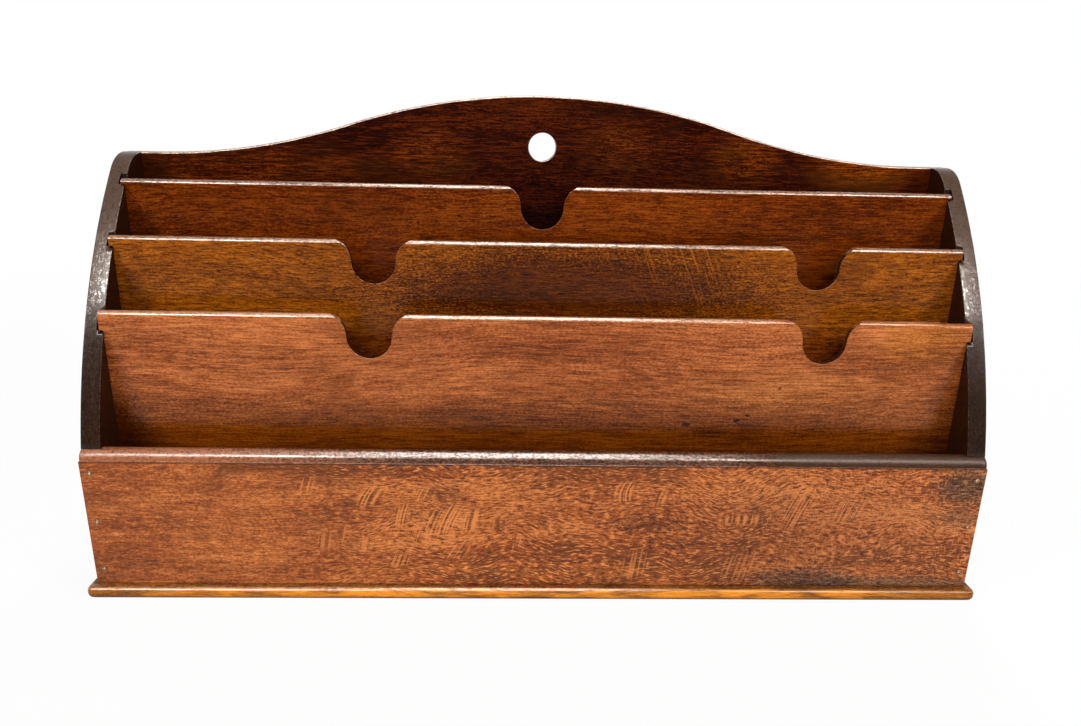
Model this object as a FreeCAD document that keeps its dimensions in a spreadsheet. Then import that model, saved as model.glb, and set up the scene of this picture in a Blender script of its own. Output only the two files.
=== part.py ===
import FreeCAD
import Part
import Sketcher
import math
import os

# Desk letter rack in stained wood: a base, two curved ends, a low front and a tall crested back,
# fastened with panel pins, and three thin dividers that drop into grooves in the ends.
# Lengths are millimetres. X runs across the front, Y runs from front to back and Z is up.
# The origin is under the middle of the base.

SIZES = {
    "rack_width": 381.0,
    "body_depth": 74.9,
    "base_thickness": 5.6,
    "base_overhang": 3.9,
    "base_nose_flat": 0.4,
    "base_corner_radius": 3.2,
    "end_thickness": 8.0,
    "end_height": 177.4,
    "end_sweep_radius": 264.0,
    "end_crown_radius": 18.4,
    "front_thickness": 9.0,
    "front_height": 61.6,
    "front_lip": 3.4,
    "front_quirk": 0.35,
    "front_corner_radius": 1.2,
    "back_thickness": 7.0,
    "crest_rise": 27.9,
    "crest_shoulder": 14.3,
    "hole_diameter": 12.7,
    "hole_drop": 22.3,
    "divider_thickness": 3.1,
    "divider_pitch": 17.8,
    "first_divider": 20.0,
    "divider_edge_radius": 2.0,
    "divider_end_gap": 0.5,
    "groove_depth": 2.8,
    "groove_clearance": 0.25,
    "front_divider_height": 115.8,
    "middle_divider_height": 144.4,
    "rear_divider_height": 166.7,
    "notch_depth": 18.8,
    "notch_radius": 9.5,
    "notch_shoulder_radius": 9.8,
    "notch_left": 72.9,
    "notch_right": 121.1,
    "arris_radius": 0.5,
    "pin_diameter": 1.5,
    "pin_length": 12.7,
    "pin_tip_bevel": 0.4,
    "pin_set": 0.2,
    "pin_clearance": 0.05,
    "front_pin_first": 7.4,
    "front_pin_pitch": 22.2,
    "back_pin_first": 22.0,
    "back_pin_pitch": 66.0,
    "base_pin_spread": 120.0,
}

FRONT_PIN_ROWS = 3
BACK_PIN_ROWS = 3
COMPARTMENTS = 4
HAIR = 0.001


class Length:
    """A length in millimetres together with the sheet expression that drives it."""

    def __init__(self, value, text):
        self.value = value
        self.text = text

    @staticmethod
    def of(other):
        """Returns other as a Length, taking a bare number as it stands."""
        return other if isinstance(other, Length) else Length(float(other), repr(float(other)))

    def __add__(self, other):
        other = Length.of(other)
        return Length(self.value + other.value, f"({self.text} + {other.text})")

    def __sub__(self, other):
        other = Length.of(other)
        return Length(self.value - other.value, f"({self.text} - {other.text})")

    def __mul__(self, other):
        other = Length.of(other)
        return Length(self.value * other.value, f"({self.text} * {other.text})")

    def __truediv__(self, other):
        other = Length.of(other)
        return Length(self.value / other.value, f"({self.text} / {other.text})")

    def __neg__(self):
        return Length.of(0) - self


document = FreeCAD.newDocument("LetterRack")
sheet = document.addObject("Spreadsheet::Sheet", "Sizes")
for row, (name, value) in enumerate(SIZES.items(), start=1):
    sheet.set(f"A{row}", name)
    sheet.set(f"B{row}", str(value))
    sheet.setAlias(f"B{row}", name)
document.recompute()

size = {name: Length(value, f"Sizes.{name}") for name, value in SIZES.items()}
ZERO = Length.of(0)


# Places that several pieces share, measured from the front board's face and the top of the base

half_width = size["rack_width"] / 2
end_middle = half_width - size["end_thickness"] / 2
rack_back = size["body_depth"] + size["back_thickness"]
depth_middle = (rack_back - size["base_overhang"]) / 2
crest_height = size["end_height"] + size["crest_rise"]
divider_fronts = [
    size["first_divider"] + size["divider_pitch"] * index
    for index in range(COMPARTMENTS - 1)
]
pin_radius = size["pin_diameter"] / 2
pin_reach = size["pin_set"] + size["pin_length"]

front_pin_places = [
    (side, size["front_pin_first"] + size["front_pin_pitch"] * row)
    for side in (-end_middle, end_middle)
    for row in range(FRONT_PIN_ROWS)
]
back_pin_places = [
    (side, size["back_pin_first"] + size["back_pin_pitch"] * row)
    for side in (-end_middle, end_middle)
    for row in range(BACK_PIN_ROWS)
]
foot_rows = [
    divider_fronts[0] + (size["divider_pitch"] + size["divider_thickness"]) / 2,
    (divider_fronts[-1] + size["divider_thickness"] + size["body_depth"]) / 2,
]
end_foot_places = [(side, row) for side in (-end_middle, end_middle) for row in foot_rows]
across_places = (-size["base_pin_spread"], size["base_pin_spread"])
front_foot_places = [(across, size["front_thickness"] / 2) for across in across_places]
back_foot_places = [(across, size["body_depth"] + size["back_thickness"] / 2) for across in across_places]
base_pin_places = end_foot_places + front_foot_places + back_foot_places


def new_body(label, across, back, up):
    """Returns a new body placed at a point measured from the front face and the top of the base."""
    body = document.addObject("PartDesign::Body", label)
    body.Label = label
    body.AllowCompound = True
    place = (across, back - depth_middle, up + size["base_thickness"])
    for axis, term in zip("xyz", place):
        body.setExpression(f"Placement.Base.{axis}", term.text)
    return body


def new_sketch(body, role, offset=ZERO):
    """Returns a sketch on one of the body's origin planes, or that far along the plane's normal."""
    plane = next(feature for feature in body.Origin.OriginFeatures if feature.Role == role)
    sketch = body.newObject("Sketcher::SketchObject", f"{body.Label}_sketch")
    sketch.AttachmentSupport = (plane, [""])
    sketch.MapMode = "FlatFace"
    sketch.setExpression("AttachmentOffset.Base.z", offset.text)
    return sketch


def drive(sketch, constraint, length):
    """Adds a dimension to a sketch and binds it to the sheet."""
    index = sketch.addConstraint(Sketcher.Constraint(*constraint, length.value))
    sketch.renameConstraint(index, f"size_{index}")
    sketch.setExpression(f"Constraints.size_{index}", length.text)


def pin_point(sketch, geometry, vertex, across, up):
    """Fixes one vertex of a sketch at a driven distance from the sketch's origin."""
    drive(sketch, ("DistanceX", -1, 1, geometry, vertex), across)
    drive(sketch, ("DistanceY", -1, 1, geometry, vertex), up)


def join(sketch, *pairs):
    """Makes pairs of sketch vertices, each a geometry and a vertex number, coincide."""
    for first, second in pairs:
        sketch.addConstraint(Sketcher.Constraint("Coincident", *first, *second))


def touch(sketch, *pairs):
    """Makes pairs of sketch curves run smoothly into each other at a shared vertex."""
    for first, second in pairs:
        sketch.addConstraint(Sketcher.Constraint("Tangent", *first, *second))


def line(sketch, start, end):
    """Adds a straight edge between two points and returns its number."""
    points = [FreeCAD.Vector(across.value, up.value, 0) for across, up in (start, end)]
    return sketch.addGeometry(Part.LineSegment(*points))


def arc(sketch, centre, radius, start_angle, end_angle):
    """Adds an anticlockwise arc, its angles in degrees, and returns its number."""
    circle = Part.Circle(FreeCAD.Vector(*centre, 0), FreeCAD.Vector(0, 0, 1), radius)
    return sketch.addGeometry(Part.ArcOfCircle(circle, math.radians(start_angle), math.radians(end_angle)))


def polygon(sketch, corners):
    """Draws a closed outline with straight edges through driven corners."""
    edges = [line(sketch, start, end) for start, end in zip(corners, corners[1:] + corners[:1])]
    for previous, edge in zip(edges[-1:] + edges[:-1], edges):
        join(sketch, ((previous, 2), (edge, 1)))
    for edge, (across, up) in zip(edges, corners):
        pin_point(sketch, edge, 1, across, up)


def rectangle(sketch, left, bottom, right, top):
    """Draws a rectangle between driven sides."""
    polygon(sketch, [(left, bottom), (right, bottom), (right, top), (left, top)])


def circles(sketch, places, radius):
    """Draws one driven circle at each place."""
    for across, up in places:
        centre = FreeCAD.Vector(across.value, up.value, 0)
        circle = sketch.addGeometry(Part.Circle(centre, FreeCAD.Vector(0, 0, 1), radius.value))
        pin_point(sketch, circle, 3, across, up)
        drive(sketch, ("Radius", circle), radius)


def pad(body, sketch, length, reverse=False):
    """Raises a solid from a sketch, along its plane's normal unless reversed."""
    feature = body.newObject("PartDesign::Pad", f"{body.Label}_pad")
    feature.Profile = sketch
    feature.Reversed = reverse
    feature.setExpression("Length", length.text)
    document.recompute()


def pocket(body, sketch, depth=None, reverse=False):
    """Cuts a sketch into the body, right through where no depth is given, and checks that it cut."""
    before = body.Shape.Volume
    feature = body.newObject("PartDesign::Pocket", f"{body.Label}_pocket")
    feature.Profile = sketch
    feature.Reversed = reverse
    if depth is None:
        feature.Type = "ThroughAll"
    else:
        feature.setExpression("Length", depth.text)
    document.recompute()
    if body.Shape.Volume >= before:
        raise RuntimeError(f"a pocket of {body.Label} cuts nothing")
    return feature


def finish_edges(body, kind, dimension, length, chosen):
    """Rounds or bevels the edges of the body for which chosen, given an edge's box, is true."""
    base = body.Tip
    edges = enumerate(base.Shape.Edges, start=1)
    names = [f"Edge{index}" for index, edge in edges if chosen(edge.BoundBox)]
    feature = body.newObject(f"PartDesign::{kind}", f"{body.Label}_{kind.lower()}")
    feature.Base = (base, names)
    feature.setExpression(dimension, length.text)
    document.recompute()


def soften(body, radius, chosen):
    """Rounds the chosen edges of the body."""
    finish_edges(body, "Fillet", "Radius", radius, chosen)


def bevel(body, width, chosen):
    """Bevels the chosen edges of the body."""
    finish_edges(body, "Chamfer", "Size", width, chosen)


def level(low, high, length):
    """Says whether a span lies at one driven length, within a hair."""
    return abs(low - length.value) < HAIR and abs(high - length.value) < HAIR


def drill(body, role, face, places, reverse, depth):
    """Drills pin holes into a body from a plane at face."""
    sketch = new_sketch(body, role, face)
    circles(sketch, places, pin_radius + size["pin_clearance"])
    pocket(body, sketch, depth, reverse)


def make_base():
    """Board under everything, its front and side edges rounded over."""
    body = new_body("base_board", ZERO, ZERO, -size["base_thickness"])
    overhang = size["base_overhang"]
    sketch = new_sketch(body, "XY_Plane")
    rectangle(sketch, -half_width - overhang, -overhang, half_width + overhang, rack_back)
    pad(body, sketch, size["base_thickness"])
    soften(body, size["base_corner_radius"],
           lambda box: box.ZLength > HAIR and level(box.YMin, box.YMax, -overhang))
    nose_radius = (size["base_thickness"] - size["base_nose_flat"]) / 2
    soften(body, nose_radius,
           lambda box: box.ZLength < HAIR and not level(box.YMin, box.YMax, rack_back))
    drill(body, "XY_Plane", ZERO, base_pin_places, True, size["base_thickness"])
    return body


def make_end(label, left):
    """Curved end with three upright grooves in its inner face and holes for the pins."""
    thickness = size["end_thickness"]
    body = new_body(label, -half_width if left else half_width - thickness, ZERO, ZERO)
    lip = size["front_lip"]
    depth = size["body_depth"]
    height = size["end_height"]
    sweep_radius = size["end_sweep_radius"]
    crown_radius = size["end_crown_radius"]

    # The sweep passes through the top of the front and runs into the crown, which ends level at the back.
    start = FreeCAD.Vector(lip.value, size["front_height"].value, 0)
    crown = FreeCAD.Vector(depth.value, height.value - crown_radius.value, 0)
    gap = crown - start
    inner_radius = sweep_radius.value - crown_radius.value
    along = (sweep_radius.value ** 2 - inner_radius ** 2 + gap.Length ** 2) / (2 * gap.Length)
    aside = math.sqrt(sweep_radius.value ** 2 - along ** 2)
    ahead = gap / gap.Length
    sweep = start + ahead * along + FreeCAD.Vector(ahead.y, -ahead.x, 0) * aside
    join_angle = math.degrees(math.atan2(crown.y - sweep.y, crown.x - sweep.x))
    start_angle = math.degrees(math.atan2(start.y - sweep.y, start.x - sweep.x))

    sketch = new_sketch(body, "YZ_Plane")
    bottom = line(sketch, (depth, ZERO), (lip, ZERO))
    front = line(sketch, (lip, ZERO), (lip, size["front_height"]))
    long_arc = arc(sketch, (sweep.x, sweep.y), sweep_radius.value, join_angle, start_angle)
    short_arc = arc(sketch, (crown.x, crown.y), crown_radius.value, 90, join_angle)
    back = line(sketch, (depth, height), (depth, ZERO))
    join(sketch, ((bottom, 2), (front, 1)), ((front, 2), (long_arc, 2)))
    touch(sketch, ((long_arc, 1), (short_arc, 2)))
    join(sketch, ((short_arc, 1), (back, 1)), ((back, 2), (bottom, 1)))
    pin_point(sketch, front, 1, lip, ZERO)
    pin_point(sketch, front, 2, lip, size["front_height"])
    pin_point(sketch, back, 1, depth, height)
    pin_point(sketch, back, 2, depth, ZERO)
    drive(sketch, ("Radius", long_arc), sweep_radius)
    drive(sketch, ("Radius", short_arc), crown_radius)
    sketch.addConstraint(Sketcher.Constraint("Vertical", short_arc, 3, short_arc, 1))
    pad(body, sketch, thickness)
    outer = ZERO if left else thickness
    soften(body, size["arris_radius"],
           lambda box: min(box.YLength, box.ZLength) > HAIR and level(box.XMin, box.XMax, outer))

    clearance = size["groove_clearance"]
    grooves = new_sketch(body, "XY_Plane")
    inner = thickness if left else ZERO
    floor = inner - size["groove_depth"] if left else inner + size["groove_depth"]
    groove_front = size["first_divider"] - clearance
    groove_back = size["first_divider"] + size["divider_thickness"] + clearance
    rectangle(grooves, min(inner, floor, key=lambda term: term.value), groove_front,
              max(inner, floor, key=lambda term: term.value), groove_back)
    groove = pocket(body, grooves, reverse=True)
    row = body.newObject("PartDesign::LinearPattern", f"{label}_grooves")
    row.Originals = [groove]
    row.Direction = (grooves, ["V_Axis"])
    row.Mode = "Spacing"
    row.setExpression("Offset", size["divider_pitch"].text)
    row.Occurrences = COMPARTMENTS - 1
    body.Tip = row
    document.recompute()

    middle = thickness / 2
    side = -end_middle if left else end_middle
    fronts = [(middle, up) for across, up in front_pin_places if across.value == side.value]
    backs = [(middle, up) for across, up in back_pin_places if across.value == side.value]
    feet = [(middle, back) for across, back in end_foot_places if across.value == side.value]
    drill(body, "XZ_Plane", -lip, fronts, False, pin_reach - lip)
    drill(body, "XZ_Plane", -depth, backs, True, pin_reach - size["back_thickness"])
    drill(body, "XY_Plane", ZERO, feet, True, pin_reach - size["base_thickness"])
    return body


def make_front():
    """Low front board, rabbeted over the ends, its top edge a half round set in a little from the face."""
    body = new_body("front_board", -half_width, ZERO, ZERO)
    thickness = size["front_thickness"]
    quirk = size["front_quirk"]
    nose_radius = (thickness - quirk) / 2
    nose_foot = size["front_height"] - nose_radius
    sketch = new_sketch(body, "YZ_Plane")
    bottom = line(sketch, (thickness, ZERO), (ZERO, ZERO))
    face = line(sketch, (ZERO, ZERO), (ZERO, nose_foot))
    step = line(sketch, (ZERO, nose_foot), (quirk, nose_foot))
    nose = arc(sketch, (quirk.value + nose_radius.value, nose_foot.value), nose_radius.value, 0, 180)
    back = line(sketch, (thickness, nose_foot), (thickness, ZERO))
    join(sketch, ((bottom, 2), (face, 1)), ((face, 2), (step, 1)), ((step, 2), (nose, 2)))
    join(sketch, ((nose, 1), (back, 1)), ((back, 2), (bottom, 1)))
    pin_point(sketch, face, 1, ZERO, ZERO)
    pin_point(sketch, step, 1, ZERO, nose_foot)
    pin_point(sketch, nose, 2, quirk, nose_foot)
    pin_point(sketch, nose, 1, thickness, nose_foot)
    pin_point(sketch, back, 2, thickness, ZERO)
    sketch.addConstraint(Sketcher.Constraint("Horizontal", nose, 3, nose, 1))
    pad(body, sketch, size["rack_width"])
    soften(body, size["front_corner_radius"],
           lambda box: min(box.YLength, box.ZLength) > HAIR and box.XLength < HAIR)

    rabbets = new_sketch(body, "XY_Plane")
    width = size["rack_width"]
    rectangle(rabbets, ZERO, size["front_lip"], size["end_thickness"], thickness)
    rectangle(rabbets, width - size["end_thickness"], size["front_lip"], width, thickness)
    pocket(body, rabbets, reverse=True)

    places = [(across + half_width, up) for across, up in front_pin_places]
    drill(body, "XZ_Plane", ZERO, places, False, size["front_lip"])
    feet = [(across + half_width, back) for across, back in front_foot_places]
    drill(body, "XY_Plane", ZERO, feet, True, pin_reach - size["base_thickness"])
    return body


def make_back():
    """Tall back board with an ogee crest and a round hole to hang it by."""
    body = new_body("back_board", ZERO, size["body_depth"], ZERO)
    shoulder = size["end_height"]
    rise = size["crest_rise"]
    reach = half_width - size["crest_shoulder"]
    radius = (rise * rise + reach * reach) / (rise * 4)
    lean = math.degrees(math.asin(reach.value / 2 / radius.value))
    valley = shoulder.value + radius.value
    hill = shoulder.value + rise.value - radius.value

    sketch = new_sketch(body, "XZ_Plane")
    bottom = line(sketch, (-half_width, ZERO), (half_width, ZERO))
    right = line(sketch, (half_width, ZERO), (half_width, shoulder))
    right_shoulder = line(sketch, (half_width, shoulder), (reach, shoulder))
    right_hollow = arc(sketch, (reach.value, valley), radius.value, -90 - lean, -90)
    crest = arc(sketch, (0, hill), radius.value, 90 - lean, 90 + lean)
    left_hollow = arc(sketch, (-reach.value, valley), radius.value, -90, -90 + lean)
    left_shoulder = line(sketch, (-reach, shoulder), (-half_width, shoulder))
    left = line(sketch, (-half_width, shoulder), (-half_width, ZERO))
    join(sketch, ((bottom, 2), (right, 1)), ((right, 2), (right_shoulder, 1)))
    touch(sketch, ((right_shoulder, 2), (right_hollow, 2)), ((right_hollow, 1), (crest, 1)))
    touch(sketch, ((crest, 2), (left_hollow, 2)), ((left_hollow, 1), (left_shoulder, 1)))
    join(sketch, ((left_shoulder, 2), (left, 1)), ((left, 2), (bottom, 1)))
    pin_point(sketch, bottom, 1, -half_width, ZERO)
    pin_point(sketch, bottom, 2, half_width, ZERO)
    pin_point(sketch, right, 2, half_width, shoulder)
    pin_point(sketch, left, 1, -half_width, shoulder)
    pin_point(sketch, right_shoulder, 2, reach, shoulder)
    pin_point(sketch, left_shoulder, 1, -reach, shoulder)
    for curve in (right_hollow, crest, left_hollow):
        drive(sketch, ("Radius", curve), radius)
    pad(body, sketch, size["back_thickness"], True)

    soften(body, size["arris_radius"],
           lambda box: box.YLength < HAIR and box.ZMin > shoulder.value - HAIR)

    hole = new_sketch(body, "XZ_Plane")
    circles(hole, [(ZERO, crest_height - size["hole_drop"])], size["hole_diameter"] / 2)
    pocket(body, hole)

    drill(body, "XZ_Plane", -size["back_thickness"], back_pin_places, True, size["back_thickness"])
    feet = [(across, size["back_thickness"] / 2) for across, back in back_foot_places]
    drill(body, "XY_Plane", ZERO, feet, True, pin_reach - size["base_thickness"])
    return body


def notch(sketch, middle, top):
    """Draws a finger notch: a round bottom between two rounded shoulders, open at the top."""
    radius = size["notch_radius"]
    shoulder = size["notch_shoulder_radius"]
    centre = top - size["notch_depth"] + radius
    mouth = radius + shoulder
    lid = top + shoulder
    left = middle - mouth
    right = middle + mouth
    lid_line = line(sketch, (right, lid), (left, lid))
    left_line = line(sketch, (left, lid), (left, centre + shoulder))
    left_round = arc(sketch, (left.value, centre.value), shoulder.value, 0, 90)
    bottom = arc(sketch, (middle.value, centre.value), radius.value, 180, 360)
    right_round = arc(sketch, (right.value, centre.value), shoulder.value, 90, 180)
    right_line = line(sketch, (right, centre + shoulder), (right, lid))
    join(sketch, ((lid_line, 2), (left_line, 1)), ((left_line, 2), (left_round, 2)))
    join(sketch, ((left_round, 1), (bottom, 1)), ((bottom, 2), (right_round, 2)))
    join(sketch, ((right_round, 1), (right_line, 1)), ((right_line, 2), (lid_line, 1)))
    pin_point(sketch, lid_line, 1, right, lid)
    pin_point(sketch, lid_line, 2, left, lid)
    for curve, across in ((left_round, left), (bottom, middle), (right_round, right)):
        pin_point(sketch, curve, 3, across, centre)
    drive(sketch, ("Radius", bottom), radius)
    for vertex in (1, 2):
        sketch.addConstraint(Sketcher.Constraint("Horizontal", bottom, 3, bottom, vertex))
    for wall in (left_line, right_line):
        sketch.addConstraint(Sketcher.Constraint("Vertical", wall))


def make_divider(label, front, height, notch_middles):
    """Thin divider that drops into the ends' grooves, its top edge rounded at the front and notched."""
    body = new_body(label, ZERO, front, ZERO)
    half_length = half_width - size["end_thickness"] + size["groove_depth"] - size["divider_end_gap"]
    sketch = new_sketch(body, "XZ_Plane")
    rectangle(sketch, -half_length, ZERO, half_length, height)
    pad(body, sketch, size["divider_thickness"], True)
    soften(body, size["divider_edge_radius"],
           lambda box: level(box.YMin, box.YMax, ZERO) and level(box.ZMin, box.ZMax, height))
    for middle in notch_middles:
        cut = new_sketch(body, "XZ_Plane")
        notch(cut, middle, height)
        pocket(body, cut)
    return body


def make_pins(label, role, back, up, places, reverse):
    """Group of lost-head pins, driven just below the plane that they enter, with bevelled tips."""
    body = new_body(label, ZERO, back, up)
    start = size["pin_set"]
    sketch = new_sketch(body, role, -start if reverse else start)
    circles(sketch, places, pin_radius)
    pad(body, sketch, size["pin_length"], reverse)
    ahead = {
        "XY_Plane": lambda box: box.ZMin,
        "XZ_Plane": lambda box: box.YMin if reverse else -box.YMax,
    }[role]
    bevel(body, size["pin_tip_bevel"], lambda box: ahead(box) > pin_reach.value - HAIR)
    return body


bodies = [
    make_base(),
    make_end("left_end", True),
    make_end("right_end", False),
    make_front(),
    make_back(),
    make_divider("front_divider", divider_fronts[0], size["front_divider_height"],
                 (-size["notch_left"], size["notch_right"])),
    make_divider("middle_divider", divider_fronts[1], size["middle_divider_height"],
                 (-size["notch_left"], size["notch_right"])),
    make_divider("rear_divider", divider_fronts[2], size["rear_divider_height"], (ZERO,)),
    make_pins("front_pins", "XZ_Plane", ZERO, ZERO, front_pin_places, True),
    make_pins("back_pins", "XZ_Plane", rack_back, ZERO, back_pin_places, False),
    make_pins("base_pins", "XY_Plane", ZERO, -size["base_thickness"], base_pin_places, False),
]
document.recompute()

for item in document.Objects:
    if "Invalid" in item.State or "Error" in item.State:
        raise RuntimeError(f"{item.Label} failed: {item.State}")
for body in bodies:
    if body.Shape.isNull() or not body.Shape.isValid():
        raise RuntimeError(f"{body.Label} has no valid shape")

os.makedirs("parts", exist_ok=True)
for body in bodies:
    body.Shape.exportStep(os.path.join("parts", f"{body.Label}.step"))
    box = body.Shape.BoundBox
    print(f"{body.Label}: {len(body.Shape.Solids)} solids, {body.Shape.Volume:.1f} mm3,"
          f" {box.XLength:.2f} x {box.YLength:.2f} x {box.ZLength:.2f}")
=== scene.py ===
"""Looks of a desk letter rack in stained wood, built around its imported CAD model.

Every board is rebuilt with worn arrises and dressed in its own stained and waxed wood. Lengths are
metres in the CAD frame: X runs across the front, Y from front to back and Z up.
"""

import logging
import math
from dataclasses import dataclass, replace
from enum import Enum
from functools import cache

import bmesh
import bpy
from mathutils import Matrix, Vector, noise


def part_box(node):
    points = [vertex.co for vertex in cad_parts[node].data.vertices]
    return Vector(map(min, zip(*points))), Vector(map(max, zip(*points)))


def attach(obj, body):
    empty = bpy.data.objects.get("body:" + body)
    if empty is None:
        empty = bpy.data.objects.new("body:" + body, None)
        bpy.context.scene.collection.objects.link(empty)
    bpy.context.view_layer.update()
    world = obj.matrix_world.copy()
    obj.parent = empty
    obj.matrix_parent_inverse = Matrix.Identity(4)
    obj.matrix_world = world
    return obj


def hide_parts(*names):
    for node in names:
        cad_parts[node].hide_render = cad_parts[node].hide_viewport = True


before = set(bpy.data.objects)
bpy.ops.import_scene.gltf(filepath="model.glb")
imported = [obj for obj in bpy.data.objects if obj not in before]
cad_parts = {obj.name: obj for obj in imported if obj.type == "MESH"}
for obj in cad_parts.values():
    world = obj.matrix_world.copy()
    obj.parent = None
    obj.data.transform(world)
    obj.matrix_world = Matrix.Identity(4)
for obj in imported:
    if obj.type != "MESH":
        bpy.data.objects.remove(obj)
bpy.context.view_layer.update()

LOG = logging.getLogger("letter_rack")
BEVEL_WEIGHT = "bevel_weight_edge"
SHARP_ANGLE = math.radians(22)
CARCASS = "carcass"
# Closer than WELD, two places count as one, and a cut is HAIR thick.
WELD = 1e-6
HAIR = 1e-7

Colour = tuple[float, float, float]
Rates = tuple[float, float, float]
Place = tuple[float, float, float]
Point = tuple[float, float]
Span = tuple[float, float]

WHITE: Colour = (1.0, 1.0, 1.0)
WARM: Colour = (1.0, 0.93, 0.86)


class Plane(Enum):
    """The plane that an outline is drawn in: its two drawing axes and the axis across it."""

    FRONT = (0, 2, 1)
    SIDE = (1, 2, 0)
    TOP = (0, 1, 2)

    def point(self, across: float, up: float, level: float) -> Vector:
        """Returns the place in space of a drawn point.

        Args:
            across: Distance along the first drawing axis.
            up: Distance along the second drawing axis.
            level: Distance of the plane along the axis across it.

        Returns:
            The point in the CAD frame.
        """
        place = Vector((0.0, 0.0, 0.0))
        for axis, length in zip(self.value, (across, up, level)):
            place[axis] = length
        return place

    def turning_axis(self) -> Vector:
        """Returns the axis about which a drawn arc turns anticlockwise."""
        return self.point(1, 0, 0).cross(self.point(0, 1, 0))


class Outline:
    """A closed outline that a pen draws in one plane, edge by edge."""

    def __init__(self, shape: bmesh.types.BMesh, plane: Plane, level: float, start: Point) -> None:
        """Puts the pen down.

        Args:
            shape: The bmesh to draw in.
            plane: The plane to draw in.
            level: How far the plane lies along the axis across it.
            start: The first corner.
        """
        self.shape = shape
        self.plane = plane
        self.level = level
        self.before = set(shape.edges)
        self.pen = shape.verts.new(plane.point(*start, level))
        self.first = self.pen

    def line_to(self, across: float, up: float, pieces: int = 1) -> "Outline":
        """Draws a straight run.

        Args:
            across: Where the run ends along the first drawing axis.
            up: Where the run ends along the second drawing axis.
            pieces: How many edges the run is made of.

        Returns:
            This outline, to go on drawing.
        """
        start = self.pen.co.copy()
        goal = self.plane.point(across, up, self.level)
        for piece in range(1, pieces + 1):
            made = bmesh.ops.extrude_vert_indiv(self.shape, verts=[self.pen])
            self.pen = made["verts"][0]
            self.pen.co = start.lerp(goal, piece / pieces)
        return self

    def arc(self, across: float, up: float, degrees: float, steps: int) -> "Outline":
        """Draws an arc round a centre, anticlockwise where the angle is positive.

        Args:
            across: The centre along the first drawing axis.
            up: The centre along the second drawing axis.
            degrees: The angle that the arc turns through.
            steps: How many edges the arc is made of.

        Returns:
            This outline, to go on drawing.
        """
        made = bmesh.ops.spin(
            self.shape, geom=[self.pen], cent=self.plane.point(across, up, self.level),
            axis=self.plane.turning_axis(), angle=math.radians(degrees), steps=steps, use_merge=False)
        self.pen = next(part for part in made["geom_last"] if isinstance(part, bmesh.types.BMVert))
        return self

    def loop(self) -> list[bmesh.types.BMEdge]:
        """Joins the pen to the first corner and returns the edges of the outline."""
        bmesh.ops.contextual_create(self.shape, geom=[self.pen, self.first])
        return [edge for edge in self.shape.edges if edge.is_wire and edge not in self.before]

    def close(self) -> bmesh.types.BMFace:
        """Closes the outline and returns the face inside it."""
        return bmesh.ops.edgeloop_fill(self.shape, edges=self.loop())["faces"][0]


def push(shape: bmesh.types.BMesh, faces: list[bmesh.types.BMFace],
         offset: Vector) -> list[bmesh.types.BMFace]:
    """Extrudes faces.

    Args:
        shape: The bmesh that the faces belong to.
        faces: The faces to extrude.
        offset: How far and which way.

    Returns:
        The faces at the far end.
    """
    rims = list({edge for face in faces for edge in face.edges})
    made = bmesh.ops.extrude_face_region(shape, geom=faces + rims)["geom"]
    corners = [part for part in made if isinstance(part, bmesh.types.BMVert)]
    bmesh.ops.translate(shape, verts=corners, vec=offset)
    return [part for part in made if isinstance(part, bmesh.types.BMFace)]


def slice_at(shape: bmesh.types.BMesh, faces: list[bmesh.types.BMFace],
             depth: float) -> list[bmesh.types.BMFace]:
    """Cuts faces in two at one depth.

    Args:
        shape: The bmesh that the faces belong to.
        faces: The faces to cut.
        depth: Where the cut lies, along Y.

    Returns:
        The faces on both sides of the cut.
    """
    edges = {edge for face in faces for edge in face.edges}
    corners = {corner for face in faces for corner in face.verts}
    cut = bmesh.ops.bisect_plane(shape, geom=[*faces, *edges, *corners], dist=HAIR,
                                 plane_co=(0, depth, 0), plane_no=(0, 1, 0))
    return [part for part in cut["geom"] if isinstance(part, bmesh.types.BMFace)]


def lies_at(part: bmesh.types.BMEdge | bmesh.types.BMFace, axis: int, place: float) -> bool:
    """Says whether every corner of an edge or a face lies at one place along an axis."""
    return all(abs(corner.co[axis] - place) < WELD for corner in part.verts)


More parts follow.
